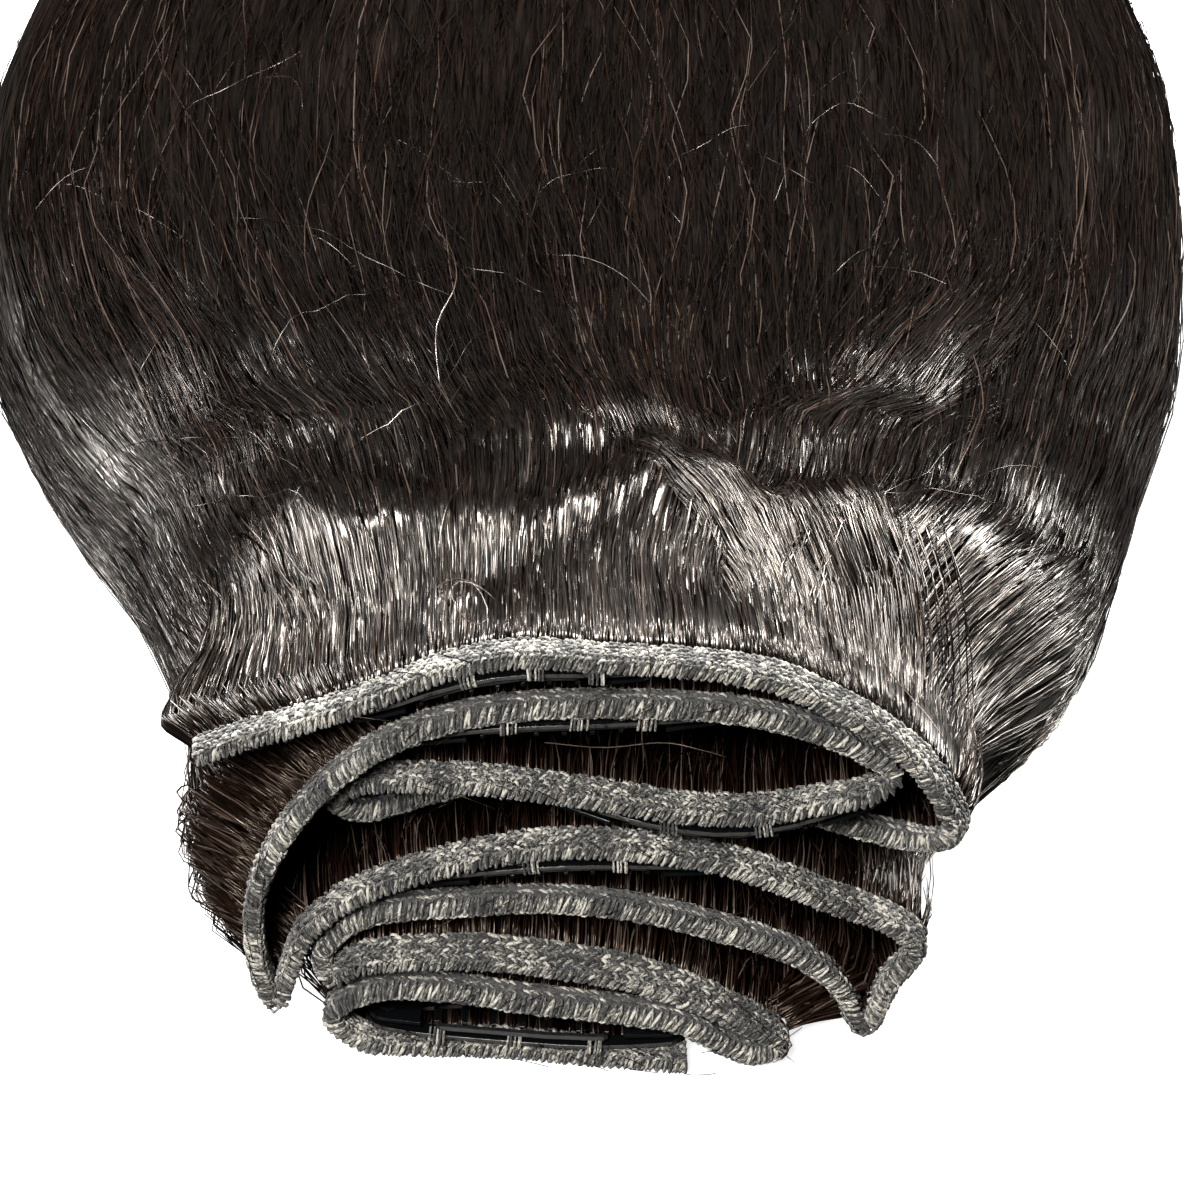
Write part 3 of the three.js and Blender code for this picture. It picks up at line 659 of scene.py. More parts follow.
@dataclass
class WeftBand:
    """The band that all hair is sewn into: a dense yarn core under loops and knots."""

    route: WeftRoute
    stitch_pitch: float = 0.75
    knot_pitch: float = 0.62
    yarn_radius: float = 0.19
    inset: float = 0.14
    seed: int = 11

    def core(self) -> Skin:
        """The band's closed core: its rounded section carried along the route.

        The section is a rounded box, |y|^4 + |z|^4 = 1 over the band's width and thickness, thinner
        towards its rear.

        Returns:
            The core's skin, with UV in millimetres along and round the band.
        """
        r = self.route
        sides = 16
        angle = -2 * np.pi * (np.arange(sides) + 0.5) / sides
        c, s = np.cos(angle), np.sin(angle)
        y = np.sign(c) * np.abs(c) ** 0.45
        z = np.sign(s) * np.abs(s) ** 0.5
        behind = r.width / 2 - (r.width / 2 - self.inset) * y
        half = (r.thickness / 2) * (1 - (1 - r.rear_taper) * behind / r.width) - self.inset
        distance = np.linspace(0, r.length, int(r.length))
        frames = r.at(np.repeat(distance, sides))
        rings = frames.point(np.tile(behind, len(distance)), np.tile(half * z, len(distance)))
        around = np.linspace(0, 2 * (r.width + r.thickness), sides + 1)
        uv = np.stack(np.broadcast_arrays(distance[:, None], around[None, :]), axis=-1)
        skin = ring_skin(rings.reshape(-1, sides, 3), uv)
        skin.attributes["shade"] = np.full(len(skin.points), -0.1)
        return skin

    def stitches(self, behind: Array, height: Array, along: Array, radius: float, sides: int,
                 jitter: float, seed: int, pitch: float | None = None) -> Skin:
        """One stitch at each pitch: the same short path across the band's section, shaken a little.

        Args:
            behind: The path's distances behind the front edge.
            height: Its heights over the band's middle.
            along: Its distances along the band from the stitch's place.
            radius: The yarn's radius.
            sides: Points round the yarn.
            jitter: How far a stitch may stray, in millimetres.
            seed: Picks the strays.
            pitch: How far the stitches are apart, if not the front loops' pitch.

        Returns:
            The stitches' skin.
        """
        r = self.route
        rng = np.random.default_rng(seed)
        pitch = pitch or self.stitch_pitch
        count, steps = int(r.length / pitch), len(behind)
        margin = 0.5 * pitch
        distance = np.linspace(margin, r.length - margin, count) + rng.normal(0, 0.35 * jitter, count)
        stray = rng.normal(0, jitter, (3, count))
        size = rng.uniform(0.8, 1.2, count)
        at = np.clip(distance[:, None] + along * (1 + stray[0, :, None]), 0.05, r.length - 0.05)
        frames = r.at(at.ravel())
        paths = frames.point((behind + 0.5 * stray[1, :, None]).ravel(),
                             (height + 0.25 * stray[2, :, None]).ravel()).reshape(count, steps, 3)
        taper = np.interp(np.linspace(0, 1, steps), (0, 0.2, 0.8, 1), (0.6, 1, 1, 0.6))
        radii = radius * size[:, None] * taper
        paths[..., 2] = np.maximum(paths[..., 2], radius)
        shade = rng.normal(0.0, 0.13, count) + 0.08 * drift(distance, 0 * distance, 9.0, self.seed)
        lengthwise = abs(along[-1] - along[0]) > abs(behind[-1] - behind[0]) + 1e-6
        up = r.at(distance).through if lengthwise else r.at(distance).tangent
        return tube_skin(paths, radii, up, sides, shade)

    def front_loops(self) -> list[Skin]:
        """The overlock loops that wrap the front edge: two threads that lean across each other."""
        h = self.route.thickness / 2
        behind = np.array([0.9, 0.22, -0.02, 0.06, 0.5])
        height = h * np.array([-0.96, -0.86, -0.2, 0.52, 0.9])
        lean = np.array([-0.5, -0.3, 0.0, 0.25, 0.45])
        return [self.stitches(behind, height, lean, self.yarn_radius, 4, 0.13, self.seed),
                self.stitches(behind - 0.03, height, 0.36 + 0.4 * lean, 0.85 * self.yarn_radius, 4, 0.18,
                              self.seed + 20)]

    def top_knots(self) -> list[Skin]:
        """Rows of short knots over the front's upper edge and on the upper side, in alternate steps."""
        rows = []
        half = self.route.thickness / 2
        for i, behind in enumerate((0.1, 0.6, 1.25, 1.95, 2.65, 3.4)):
            way = 1 - 2 * (i % 2)
            height = half * (1 - (1 - self.route.rear_taper) * behind / self.route.width) - 0.3 * (i == 0)
            rows.append(self.stitches(behind + 0.22 * way * np.array([-1.0, -0.35, 0.35, 1.0]),
                                      height + np.array([-0.16, 0.1, 0.1, -0.16]),
                                      np.array([-0.4, -0.14, 0.14, 0.4]) + 0.3 * (i % 2),
                                      self.yarn_radius, 3, 0.17, self.seed + 1 + i, self.knot_pitch))
        return rows

    def under_knots(self) -> list[Skin]:
        """Two flatter rows on the lower side."""
        rows = []
        for i, behind in enumerate((1.8, 3.1)):
            height = -self.route.thickness / 2 * (1 - (1 - self.route.rear_taper) * behind / self.route.width)
            rows.append(self.stitches(behind + np.array([-0.2, 0.0, 0.2]),
                                      height + np.array([0.12, -0.02, 0.12]),
                                      np.array([-0.5, 0.0, 0.5]), 0.2, 3, 0.1, self.seed + 9 + i))
        return rows

    def build(self, shop: Workshop) -> None:
        """Makes the core, which stands for the CAD band, and the stitches over it."""
        core = YarnFinish("sewn_weft_core", cream="#7d786e", lightness=-0.06).build()
        yarn = YarnFinish("marled_overlock_yarn").build()
        shop.make("weft_core", self.core(), core, ("weft_band",))
        shop.make("weft_stitches", merged([*self.front_loops(), *self.top_knots()]), yarn)
        shop.make("weft_under_stitches", merged(self.under_knots()), yarn)


@dataclass(frozen=True)
class Sewing:
    """How a snap clip is sewn on: its lay, its middle across the stack, its side and its wraps.

    Wraps are the places of the thread windings, in millimetres from the clip's middle.
    """

    lay: str
    across: float
    above: bool
    wraps: tuple[float, ...]


SEWING = (
    Sewing("top", -0.23, False, (-2.7, 4.0, 10.0)),
    Sewing("second", -0.05, False, (-5.5, 1.4, 8.1)),
    Sewing("third", 0.335, False, (-4.5, 4.5)),
    Sewing("fourth", -0.05, False, (-3.5, 5.5)),
    Sewing("bottom", -0.162, True, (-8.5, -0.8, 7.1)),
)


@dataclass
class ClipThreads:
    """The thread windings that hold each snap clip's front bar to its lay."""

    route: WeftRoute
    turns: int = 5
    turn_pitch: float = 0.36
    thread_radius: float = 0.11
    seed: int = 5

    def windings(self, sewing: Sewing) -> Skin:
        """The windings of one clip: rounds through the band and about the clip's bar.

        A round's section runs from the band's edge, down before the bar, under it and up again, and
        its turns lean along the lay.

        Args:
            sewing: The clip's lay, place and wraps.

        Returns:
            The windings' skin.
        """
        r = self.route
        rng = np.random.default_rng(self.seed + len(sewing.lay))
        start, end = r.span(sewing.lay)
        track = np.linspace(start, end, 2000)
        middle = track[np.argmin(np.abs(r.at(track).origin[:, 0] - sewing.across * r.half_width))]
        facing = r.at(np.array([middle]))
        side = np.sign(facing.through[0, 2]) * (1 if sewing.above else -1)
        way = np.sign(facing.tangent[0, 0])
        behind = np.array([1.3, 0.2, -0.3, -0.58, -0.6, -0.35, 0.5, 1.5, 1.85, 1.85, 1.5])
        height = np.array([0.7, 0.92, 1.0, 1.2, 1.6, 1.77, 1.79, 1.79, 1.6, 1.15, 0.8]) * side
        turn = (np.arange(self.turns) - (self.turns - 1) / 2) * self.turn_pitch
        place = (middle + way * (np.array(sewing.wraps)[:, None] + turn)).ravel()
        place = place + rng.normal(0, 0.08, len(place))
        lean = np.linspace(0, 0.3, len(behind)) * rng.uniform(0.3, 1.4, (len(place), 1))
        f = r.at((place[:, None] + lean).ravel())
        shake = rng.normal(0, 0.03, (len(place), len(behind)))
        paths = f.point((behind - np.abs(shake)).ravel(), np.broadcast_to(height, shake.shape).ravel())
        paths = paths.reshape(len(place), len(behind), 3)
        radii = np.full(paths.shape[:2], self.thread_radius)
        return tube_skin(paths, radii, r.at(place).tangent, 5, rng.normal(0.0, 0.15, len(place)))

    def build(self, shop: Workshop) -> None:
        """Makes all windings as one piece."""
        yarn = YarnFinish("clip_sewing_thread", fibre=0.12, bump_height=0.05).build()
        shop.make("clip_windings", merged([self.windings(entry) for entry in SEWING]), yarn)


@dataclass(frozen=True)
class HankRow:
    """A section of the hank.

    At is a share of the hair's length from the hank's front, half and lean of the spread's half
    width, top of the stack's height and shoulder of the section's own height.
    """

    at: float
    half: float
    top: float
    lean: float
    shoulder: float


HANK = (
    HankRow(-0.018, 0.5, 0.955, 0.01, 0.5), HankRow(0.012, 0.585, 1.0, 0.035, 0.5),
    HankRow(0.045, 0.65, 0.96, 0.055, 0.48), HankRow(0.095, 0.725, 0.87, 0.055, 0.45),
    HankRow(0.155, 0.825, 0.775, 0.02, 0.42), HankRow(0.23, 0.935, 0.67, 0.0, 0.4),
    HankRow(0.33, 1.02, 0.56, -0.02, 0.38), HankRow(0.45, 1.06, 0.47, -0.02, 0.36),
    HankRow(0.6, 1.0, 0.39, -0.01, 0.35), HankRow(0.75, 0.88, 0.3, -0.03, 0.35),
    HankRow(0.88, 0.7, 0.2, -0.04, 0.35), HankRow(0.975, 0.5, 0.085, -0.04, 0.4),
)


# How many waves lie before a distance from the weft's front: distances, then counts.
WAVE_CRESTS = (np.array([-30.0, 0.0, 16.0, 32.0, 57.0, 92.0, 140.0, 230.0, 400.0, 500.0]),
               np.array([-3.0, -1.0, 0.0, 1.0, 2.0, 3.0, 4.0, 5.5, 8.0, 9.5]))


@dataclass
class HairFlow:
    """Where hair lies: the hank's sections, its waves, and the way from the band into it."""

    route: WeftRoute
    length: float = 430.0
    half_spread: float = 72.0
    front: float = 26.0
    squareness: float = 2.6
    sink: float = 1.06
    settle: float = 44.0  # where the hair has left its lay's place for the hank's
    flare: float = 6.0  # how far the hair of the steep left lay puffs out beside it

    def __post_init__(self) -> None:
        """Turns the table of sections to columns in millimetres."""
        self.knots = np.array([self.front + row.at * self.length for row in HANK])
        self.half = np.array([row.half * self.half_spread for row in HANK])
        self.top = np.array([row.top * self.route.height for row in HANK])
        self.lean = np.array([row.lean * self.half_spread for row in HANK])
        self.shoulder = np.array([row.shoulder for row in HANK]) * self.top

    def section(self, y: Array) -> tuple[Array, Array, Array, Array]:
        """The hank's lean, half width, shoulder height and top height at distances y."""
        return tuple(smooth_rows(y, self.knots, column)
                     for column in (self.lean, self.half, self.shoulder, self.top))

    def ripple(self, side: Array, rise: Array, y: Array) -> Array:
        """The hair's waves and locks as a height over the hank's section.

        Waves run across the hair, sin(2 pi n) with n the smooth count of waves up to y, their
        crests bent by a slow drift, and grooves between the locks run along it.

        Args:
            side: Share of the half width, -1 to 1.
            rise: Share of the section's height over its shoulder, 1 on top.
            y: Distance from the weft's front.

        Returns:
            The height in millimetres.
        """
        x = side * 50.0
        bend = 4.5 * drift(x, 0.25 * y, 34.0, 3) + 2.2 * drift(x, 0.2 * y, 11.0, 8)
        phase = 2 * np.pi * smooth_rows(y + bend, *WAVE_CRESTS)
        patch = np.clip(0.7 + 0.3 * drift(x, y, 38.0, 4) + 0.45 * drift(x, 0.6 * y, 14.0, 9), 0.1, 1.6)
        height = np.interp(y, (7, 14, 32, 57, 80, 115, 150, 400), (0.1, 0.75, 0.95, 1.55, 1.1, 0.4, 0.3, 0.4))
        wave = height * patch * (np.sin(phase) + 0.1 * np.sin(2 * phase + 0.8))
        lock = 0.5 * drift(x, 0.08 * y, 7.0, 5) * np.interp(y, (5, 30, 120, 400), (0.2, 0.7, 1.3, 1.8))
        fade = smooth_step(y, 440.0, 400.0) if np.ndim(y) else 1.0
        return (wave + lock) * np.sqrt(np.clip(rise, 0.0, 1.0)) * fade

    def on_hank(self, side: Array, rise: Array, y: Array, lift: Array | float = 0.0) -> Array:
        """Points of the hank's surface.

        X is lean + half * side; Z is the shoulder plus rise times the way to the top, or to a belly
        below the surface that it lies on, and never under that surface.

        Args:
            side: Share of the half width.
            rise: Share of the way up, below 0 under the shoulder.
            y: Distances from the weft's front.
            lift: Height over the surface.

        Returns:
            (..., 3) points.
        """
        lean, half, shoulder, top = self.section(y)
        lift = np.asarray(lift)
        reach = np.where(rise >= 0, top - shoulder, shoulder * self.sink)
        x = lean + (half + lift * np.abs(side) ** 3) * side
        z = shoulder + rise * reach + self.ripple(side, rise, y) + lift * np.clip(rise + 0.3, 0, 1)
        return np.stack([x, np.broadcast_to(y, x.shape), np.maximum(z, 0.15)], axis=-1)

    def around(self, angle: Array) -> tuple[Array, Array]:
        """Side and rise of a place on the section's outline.

        Side is sgn(cos a) |cos a|^(2/n) and rise is sgn(sin a) |sin a|^(2/n).
        """
        power = 2 / self.squareness
        return (np.sign(np.cos(angle)) * np.abs(np.cos(angle)) ** power,
                np.sign(np.sin(angle)) * np.abs(np.sin(angle)) ** power)

    def crest(self, side: Array) -> Array:
        """The rise of the section's outline over a side: (1 - |side|^n)^(1/n)."""
        return np.clip(1 - np.abs(side) ** self.squareness, 0, 1) ** (1 / self.squareness)

    def depth(self, start: Array) -> Array:
        """How far out in the hank's front section a place of the weft lies, 1 at its surface."""
        side = (start[..., 0] - self.lean[1]) / self.half[1]
        rise = (start[..., 2] - self.shoulder[1]) / (self.top[1] - self.shoulder[1])
        return (np.abs(side) ** self.squareness + np.abs(rise) ** self.squareness) ** (1 / self.squareness)

    def bearings(self, start: Array) -> tuple[Array, Array]:
        """Where on the hank's outer surface the hair from a place of the weft comes to lie.

        The place's own side and rise in the hank's front section are carried straight out until
        |side|^n + |rise|^n = 1.

        Args:
            start: (..., 3) places of the weft.

        Returns:
            Side and rise on the surface.
        """
        lean, half, shoulder, top = (column[1] for column in (self.lean, self.half, self.shoulder, self.top))
        side = (start[..., 0] - lean) / half
        rise = (start[..., 2] - shoulder) / (top - shoulder)
        radius = self.depth(start)
        return side / radius, rise / radius

    def strands(self, start: Array, side: Array, rise: Array, y: Array, lift: Array,
                offset: Array | float = 0.0) -> Array:
        """Paths from the weft into the hank's surface.

        Each point is start + (hank - start) * s, where s is the smooth step of y between the root
        and the place where the hair has settled.

        Args:
            start: (strands, 3) roots.
            side: (strands,) sides on the surface.
            rise: (strands,) rises on the surface.
            y: (strands, points) distances from the weft's front.
            lift: (strands, points) heights over the surface.
            offset: How much later each strand meets the waves, in millimetres.

        Returns:
            (strands, points, 3) paths.
        """
        side, rise = np.broadcast_to(side[:, None], y.shape), np.broadcast_to(rise[:, None], y.shape)
        goal = self.on_hank(side, rise, y, lift)
        goal[..., 2] += self.ripple(side, rise, y + offset) - self.ripple(side, rise, y)
        share = smooth_step((y - start[:, None, 1]) / (self.settle - start[:, None, 1]), 0.0, 1.0)[..., None]
        flare = (self.flare * np.clip(-side, 0, 1) ** 4 * smooth_step(y - start[:, None, 1], 0.0, 7.0)
                 * smooth_step(y, 60.0, 16.0))
        near = np.stack([start[:, None, 0] - flare, y,
                         start[:, None, 2] + lift * smooth_step(y - start[:, None, 1], 0, 6)
                         + self.ripple(side, rise, y + offset) * smooth_step(y, 5, 14)], axis=-1)
        return near + (goal - near) * share


@dataclass(frozen=True)
class Lock:
    """A lock with its own way: its track gives back, across as a share of the stack, and width."""

    name: str
    track: tuple[tuple[float, float, float], ...]
    lift: float
    count: int


LOCKS = (
    Lock("crossing", ((5, 0.57, 3.5), (14, 0.54, 4), (24, 0.49, 4.5), (36, 0.4, 5), (48, 0.3, 5.5),
                      (62, 0.21, 6.5), (85, 0.16, 8), (120, 0.13, 11)), 1.1, 320),
    Lock("left_wave", ((40, -0.93, 6), (70, -1.05, 8), (100, -1.22, 9), (140, -1.46, 7), (190, -1.62, 7)),
         1.0, 120),
    Lock("right_swoop", ((5, 0.78, 4), (22, 0.77, 6), (45, 0.66, 7), (62, 0.7, 8), (85, 0.92, 9),
                         (115, 1.15, 10), (160, 1.4, 12)), 0.8, 200),
)

# Loose hairs: across and level as shares of the stack's half width and height, back in millimetres.
FLYAWAYS = (
    ((-0.38, 13.1, 1.03), (-0.34, 14.2, 1.04), (-0.29, 12.7, 1.05), (-0.253, 8.7, 1.05), (-0.247, 5.5, 1.04),
     (-0.28, 4.4, 1.04), (-0.32, 6.5, 1.05), (-0.34, 9.8, 1.06), (-0.32, 12.0, 1.06), (-0.27, 10.9, 1.06),
     (-0.23, 9.8, 1.04)),
    ((0.7, 14.0, 0.95), (0.74, 6.0, 0.955), (0.795, 2.0, 0.92), (0.9, -2.0, 0.836), (0.937, -2.0, 0.705),
     (0.924, -1.0, 0.64)),
    ((0.69, 4.0, 0.955), (0.71, -1.5, 0.936), (0.737, -1.6, 0.87), (0.78, -1.6, 0.817), (0.82, -1.5, 0.776),
     (0.808, -1.3, 0.75)),
    ((0.15, 9.0, 1.02), (0.16, 0.5, 1.03), (0.168, -0.8, 0.95), (0.145, -1.2, 0.85), (0.15, -1.5, 0.75),
     (0.12, -1.2, 0.66)),
    ((-0.1, -0.8, 0.8), (0.05, -1.0, 0.79), (0.2, -0.8, 0.8), (0.3, -1.2, 0.785), (0.36, -0.6, 0.76)),
    ((-0.4, 62, 0.98), (-0.42, 74, 1.03), (-0.37, 84, 1.05), (-0.39, 96, 1.02), (-0.44, 108, 0.95)),
)


def combed_back(skin: Skin, shade: float) -> Skin:
    """Gives a closed sheet of hair one shade, and strands that run straight back."""
    skin.attributes["shade"] = np.full(len(skin.points), shade)
    skin.attributes["flow"] = np.tile((0.0, 1.0, 0.0), (len(skin.points), 1))
    return skin


@dataclass
class Hair:
    """All hair: the sheets behind each lay, the hank's body, and the strands and locks over them."""

    flow: HairFlow
    sheet_thickness: float = 1.4
    strand_radius: float = 0.09  # a strand of some hairs: a single one is 0.035 mm
    long_hairs: tuple[int, ...] = (800, 800)
    side_hairs: int = 1800
    puff_hairs: int = 620
    fringe_hairs: int = 3800
    tuft_hairs: int = 520
    tip_hairs: int = 620
    loose_hairs: int = 80
    fuzz_hairs: int = 260
    seed: int = 29

    def roots(self) -> Skin:
        """The hair behind the band as one closed sheet that follows the whole route.

        Each section runs straight back from the band's rear edge and draws together by a twentieth
        on its way into the hank.

        Returns:
            The sheet's skin.
        """
        r = self.flow.route
        distance = np.linspace(0.05, r.length - 0.05, int(r.length / 1.0))
        f = r.at(distance)
        start = f.point(r.width - 1.0, 0.0)
        share = np.array([0.0, 0.1, 0.22, 0.38, 0.6, 0.8, 1.0])
        end = self.flow.front + 8.0
        y = start[:, None, 1] + (end - start[:, None, 1]) * share
        draw = 1 - 0.06 * np.clip((share - 0.3) / 0.7, 0, 1)
        normal = np.stack([-f.tangent[:, 2], 0 * distance, f.tangent[:, 0]], axis=-1)
        tilt = (f.across * normal).sum(axis=-1)
        rise = tilt[:, None] * 3.0 * (1 - np.exp(-(y - start[:, None, 1]) / 3.0))
        middle = start[:, None, :] + rise[..., None] * normal[:, None, :]
        middle = np.stack([middle[..., 0] * draw, y, middle[..., 2] * draw], axis=-1)
        tuft = 0.75 + 0.25 * drift(distance, 0 * distance, 3.0, 41)[:, None]
        half = 0.5 * self.sheet_thickness * tuft * np.interp(share, (0, 0.1, 0.22, 1), (0.25, 0.55, 0.9, 1))
        upper = middle + half[..., None] * normal[:, None, :]
        lower = middle - half[..., None] * normal[:, None, :]
        rings = np.concatenate([lower, upper[:, ::-1]], axis=1)
        rings[..., 2] = np.maximum(rings[..., 2], 0.1)
        v = np.concatenate([share, share[::-1], share[:1]]) * (end - 5)
        uv = np.stack(np.broadcast_arrays(distance[:, None], v[None, :]), axis=-1)
        return combed_back(ring_skin(rings, uv), 0.02)

    def body(self) -> Skin:
        """The hank as one closed body: its superellipse sections with all waves and locks.

        Returns:
            The body's skin, with UV in millimetres across and along the hair.
        """
        flow = self.flow
        y = np.concatenate([np.arange(20.0, 80.0, 1.0), np.arange(80.0, 240.0, 2.0),
                            np.linspace(240.0, flow.knots[-1], 44)])
        sides = 180
        side, rise = flow.around(-2 * np.pi * np.arange(sides) / sides)
        rows = np.broadcast_to(y[:, None], (len(y), sides))
        inset = 2.5 * (1 - smooth_step(rows, 30.0, 62.0))
        rings = flow.on_hank(np.broadcast_to(side, rows.shape), np.broadcast_to(rise, rows.shape), rows,
                             -inset)
        around = np.concatenate([[0.0], np.cumsum(np.linalg.norm(
            np.diff(np.stack([side, rise * 0.35], -1), axis=0), axis=-1))]) * 55.0
        around = np.append(around, around[-1] + 0.5)
        uv = np.stack(np.broadcast_arrays(around[None, :], y[:, None]), axis=-1)
        return combed_back(ring_skin(rings, uv), 0.05)

    def crown(self) -> Skin:
        """The top lay's hair as a closed sheet from the band over the front of the hank."""
        r = self.flow.route
        start, end = r.span("top")
        rng = np.random.default_rng(self.seed + 3)
        distance = np.linspace(start + 0.1, end + 6.0, 270)
        root = r.at(distance).point(r.width - 1.3, -0.25)
        side, rise = self.flow.bearings(root)
        share = np.linspace(0, 1, 52) ** 1.2
        stray = rng.normal(0, 1.7, (len(distance), 1)) + 1.8 * drift(distance, 0 * distance, 2.6, 12)[:, None]
        y = root[:, None, 1] + (84.0 - root[:, None, 1]) * share
        lift = np.interp(share, (0, 0.1, 0.6, 0.85, 1), (0.3, 0.3, 0.25, 0.1, -1.2)) * np.ones_like(y)
        upper = self.flow.strands(root, side, rise, y, lift, stray)
        lower = upper - (0, 0, 1.1)
        rings = np.concatenate([lower, upper[:, ::-1]], axis=1)
        v = np.concatenate([y[0], y[0, ::-1], y[0, :1]])
        uv = np.stack(np.broadcast_arrays(distance[:, None] + 17.0, v[None, :]), axis=-1)
        return combed_back(ring_skin(rings, uv), 0.05)

    def shades(self, count: int, rng: np.random.Generator) -> Array:
        """A shade for each strand: most are dark, and one in six is painted lighter, partly the hair's own
        paler strands and partly a painted highlight.
        """
        return np.where(rng.random(count) < 0.16, rng.uniform(0.2, 0.5, count), rng.normal(0.03, 0.09, count))

    def rooted(self, distance: Array, reach: Array, steps: int, seed: int, spread: float = 0.0) -> Skin:
        """Long strands from places along the band, over the hank's surface.

        Args:
            distance: Where each is sewn in.
            reach: How far back each runs.
            steps: Points in a strand.
            seed: Picks wander, lift and shade.
            spread: How far the strands fan out around the hank, in radians.

        Returns:
            The strands' skin.
        """
        r = self.flow.route
        rng = np.random.default_rng(seed)
        count = len(distance)
        root = r.at(distance).point(r.width - 0.4, rng.uniform(-0.35, 0.5, count))
        side, rise = self.flow.bearings(root)
        power = self.flow.squareness / 2
        angle = np.arctan2(np.sign(rise) * np.abs(rise) ** power, np.sign(side) * np.abs(side) ** power)
        side, rise = self.flow.around(angle + rng.normal(0, spread, count))
        share = np.linspace(0, 1, steps) ** 1.25
        y = root[:, 1:2] + (reach[:, None] - root[:, 1:2]) * share
        wander = rng.normal(0, 1, (2, count, 1)) * np.interp(y, (5, 40, 150, 430), (0.05, 0.5, 1.8, 3.5))
        turn = rng.uniform(0, 2 * np.pi, (3, count, 1))
        bob = 0.22 * np.sin(2 * np.pi * y / rng.uniform(30, 80, (count, 1)) + turn[2])
        lift = 0.25 + bob + 0.15 * rng.random((count, 1))
        paths = self.flow.strands(root, side, rise, y, lift, rng.normal(0, 1.8, (count, 1)))
        sway = (wander[0] * np.sin(2 * np.pi * y / 150 + turn[0])
                + 0.35 * wander[1] * np.sin(2 * np.pi * y / 62 + turn[1]))
        paths[..., 0] += sway * np.clip(1.2 - np.abs(side[:, None]) ** 4, 0.15, 1)
        paths[..., 2] = np.maximum(paths[..., 2], 0.3)
        radii = self.strand_radius * rng.uniform(0.75, 1.25, (count, 1)) * np.interp(
            np.linspace(0, 1, steps), (0, 0.9, 1), (1, 1, 0.3))
        return tube_skin(paths, radii, np.array([0.0, 0.0, 1.0]), 3, self.shades(count, rng))

    def side_strands(self) -> Skin:
        """Strands from the lays that stand at the stack's sides, over the hank's flanks.

        A place of the band gets strands in step with smooth(depth) * (0.15 + side^4), where smooth
        rises from depth 0.72 to 0.95 of the hank's section. The top lay gets none.

        Returns:
            The strands' skin.
        """
        r = self.flow.route
        rng = np.random.default_rng(self.seed + 7)
        distance = np.arange(r.span("top")[1] + 4.0, r.length - 0.5, 0.05)
        root = r.at(distance).point(r.width, 0.0)
        side, _ = self.flow.bearings(root)
        weight = smooth_step(self.flow.depth(root), 0.72, 0.95) * (0.15 + np.abs(side) ** 4)
        chosen = rng.choice(distance, self.side_hairs, p=weight / weight.sum())
        return self.rooted(chosen, rng.uniform(60, 260, len(chosen)), 13, self.seed + 8, spread=0.32)

    def left_puff(self) -> Skin:
        """The curled hair beside the second lay's steep left end.

        A strand leaves the band backwards, bulges to the left as sin(pi t) and curls upwards.

        Returns:
            The strands' skin.
        """
        r = self.flow.route
        rng = np.random.default_rng(self.seed + 17)
        count, steps = self.puff_hairs, 12
        start, end = r.span("second")
        root = r.at(rng.uniform(start + 0.62 * (end - start), end + 3.0, count)).point(r.width - 0.5, 0.0)
        t = np.linspace(0, 1, steps)
        reach = rng.uniform(14, 44, (count, 1))
        side, rise = self.flow.bearings(root)
        y = root[:, 1:2] + reach * t
        paths = self.flow.strands(root, side, rise, y, rng.uniform(0.0, 0.8, (count, 1)) * np.ones_like(y))
        paths[..., 0] -= rng.uniform(0.0, 3.2, (count, 1)) * np.sin(np.pi * t**0.7) * smooth_step(
            root[:, 2:], 2.0, 12.0)
        paths[..., 2] += rng.uniform(-1.5, 4.0, (count, 1)) * np.sin(np.pi * t**0.8) + rng.normal(
            0, 0.5, (count, 1)) * np.sin(9 * t + rng.uniform(0, 6, (count, 1)))
        paths[..., 2] = np.maximum(paths[..., 2], 0.3)
        radii = 0.1 * rng.uniform(0.7, 1.2, (count, 1)) * np.interp(t, (0, 0.85, 1), (1, 1, 0.4))
        # the + 0.24 lightens these hairs as painted light, standing in for the light that reaches them beside
        # the lay
        return tube_skin(paths, radii, np.array([0.1, 0.0, 1.0]), 3, self.shades(count, rng) + 0.24)

    def lock(self, lock: Lock) -> Skin:
        """A lock that runs its own way over the rest.

        Its strands keep their place in the lock's width, and the lock's middle line is the smooth
        curve through its track.

        Args:
            lock: The lock.

        Returns:
            The strands' skin.
        """
        flow = self.flow
        rng = np.random.default_rng(self.seed + len(lock.name))
        back, across, width = (np.array(column) for column in zip(*lock.track))
        steps = 26
        y = np.linspace(back[0], back[-1], steps) + rng.uniform(-3, 3, (lock.count, 1))
        y[:, 0] = np.maximum(y[:, 0], flow.route.width)
        x = smooth_rows(y, back, across) * flow.route.half_width
        place = rng.normal(0, 0.55, (lock.count, 1))
        x = x + place * smooth_rows(y, back, width) + 0.5 * rng.normal(0, 1, (lock.count, 1)) * np.sin(
            2 * np.pi * y / 70 + rng.uniform(0, 6, (lock.count, 1)))
        lean, half, shoulder, top = flow.section(y)
        side = np.clip((x - lean) / half, -0.98, 0.98)
        rise = flow.crest(side)
        arch = np.sin(np.pi * np.linspace(0, 1, steps)) ** 0.8
        lift = lock.lift * arch * np.clip(1.1 - place**2, 0.1, 1) * rng.uniform(0.5, 1.1, (lock.count, 1)) + (
            0.3 - 0.6 * np.linspace(0, 1, steps) ** 4)
        paths = flow.on_hank(side, rise, y, lift)
        paths[..., 0] = x
        drop = 1 - smooth_step(y, 5, 30)
        root_level = np.interp(x, *self.lay_profile())
        paths[..., 2] += drop * (root_level - paths[..., 2])
        radii = self.strand_radius * rng.uniform(0.75, 1.2, (lock.count, 1)) * np.interp(
            np.linspace(0, 1, steps), (0, 0.1, 0.9, 1), (0.4, 1, 1, 0.4))
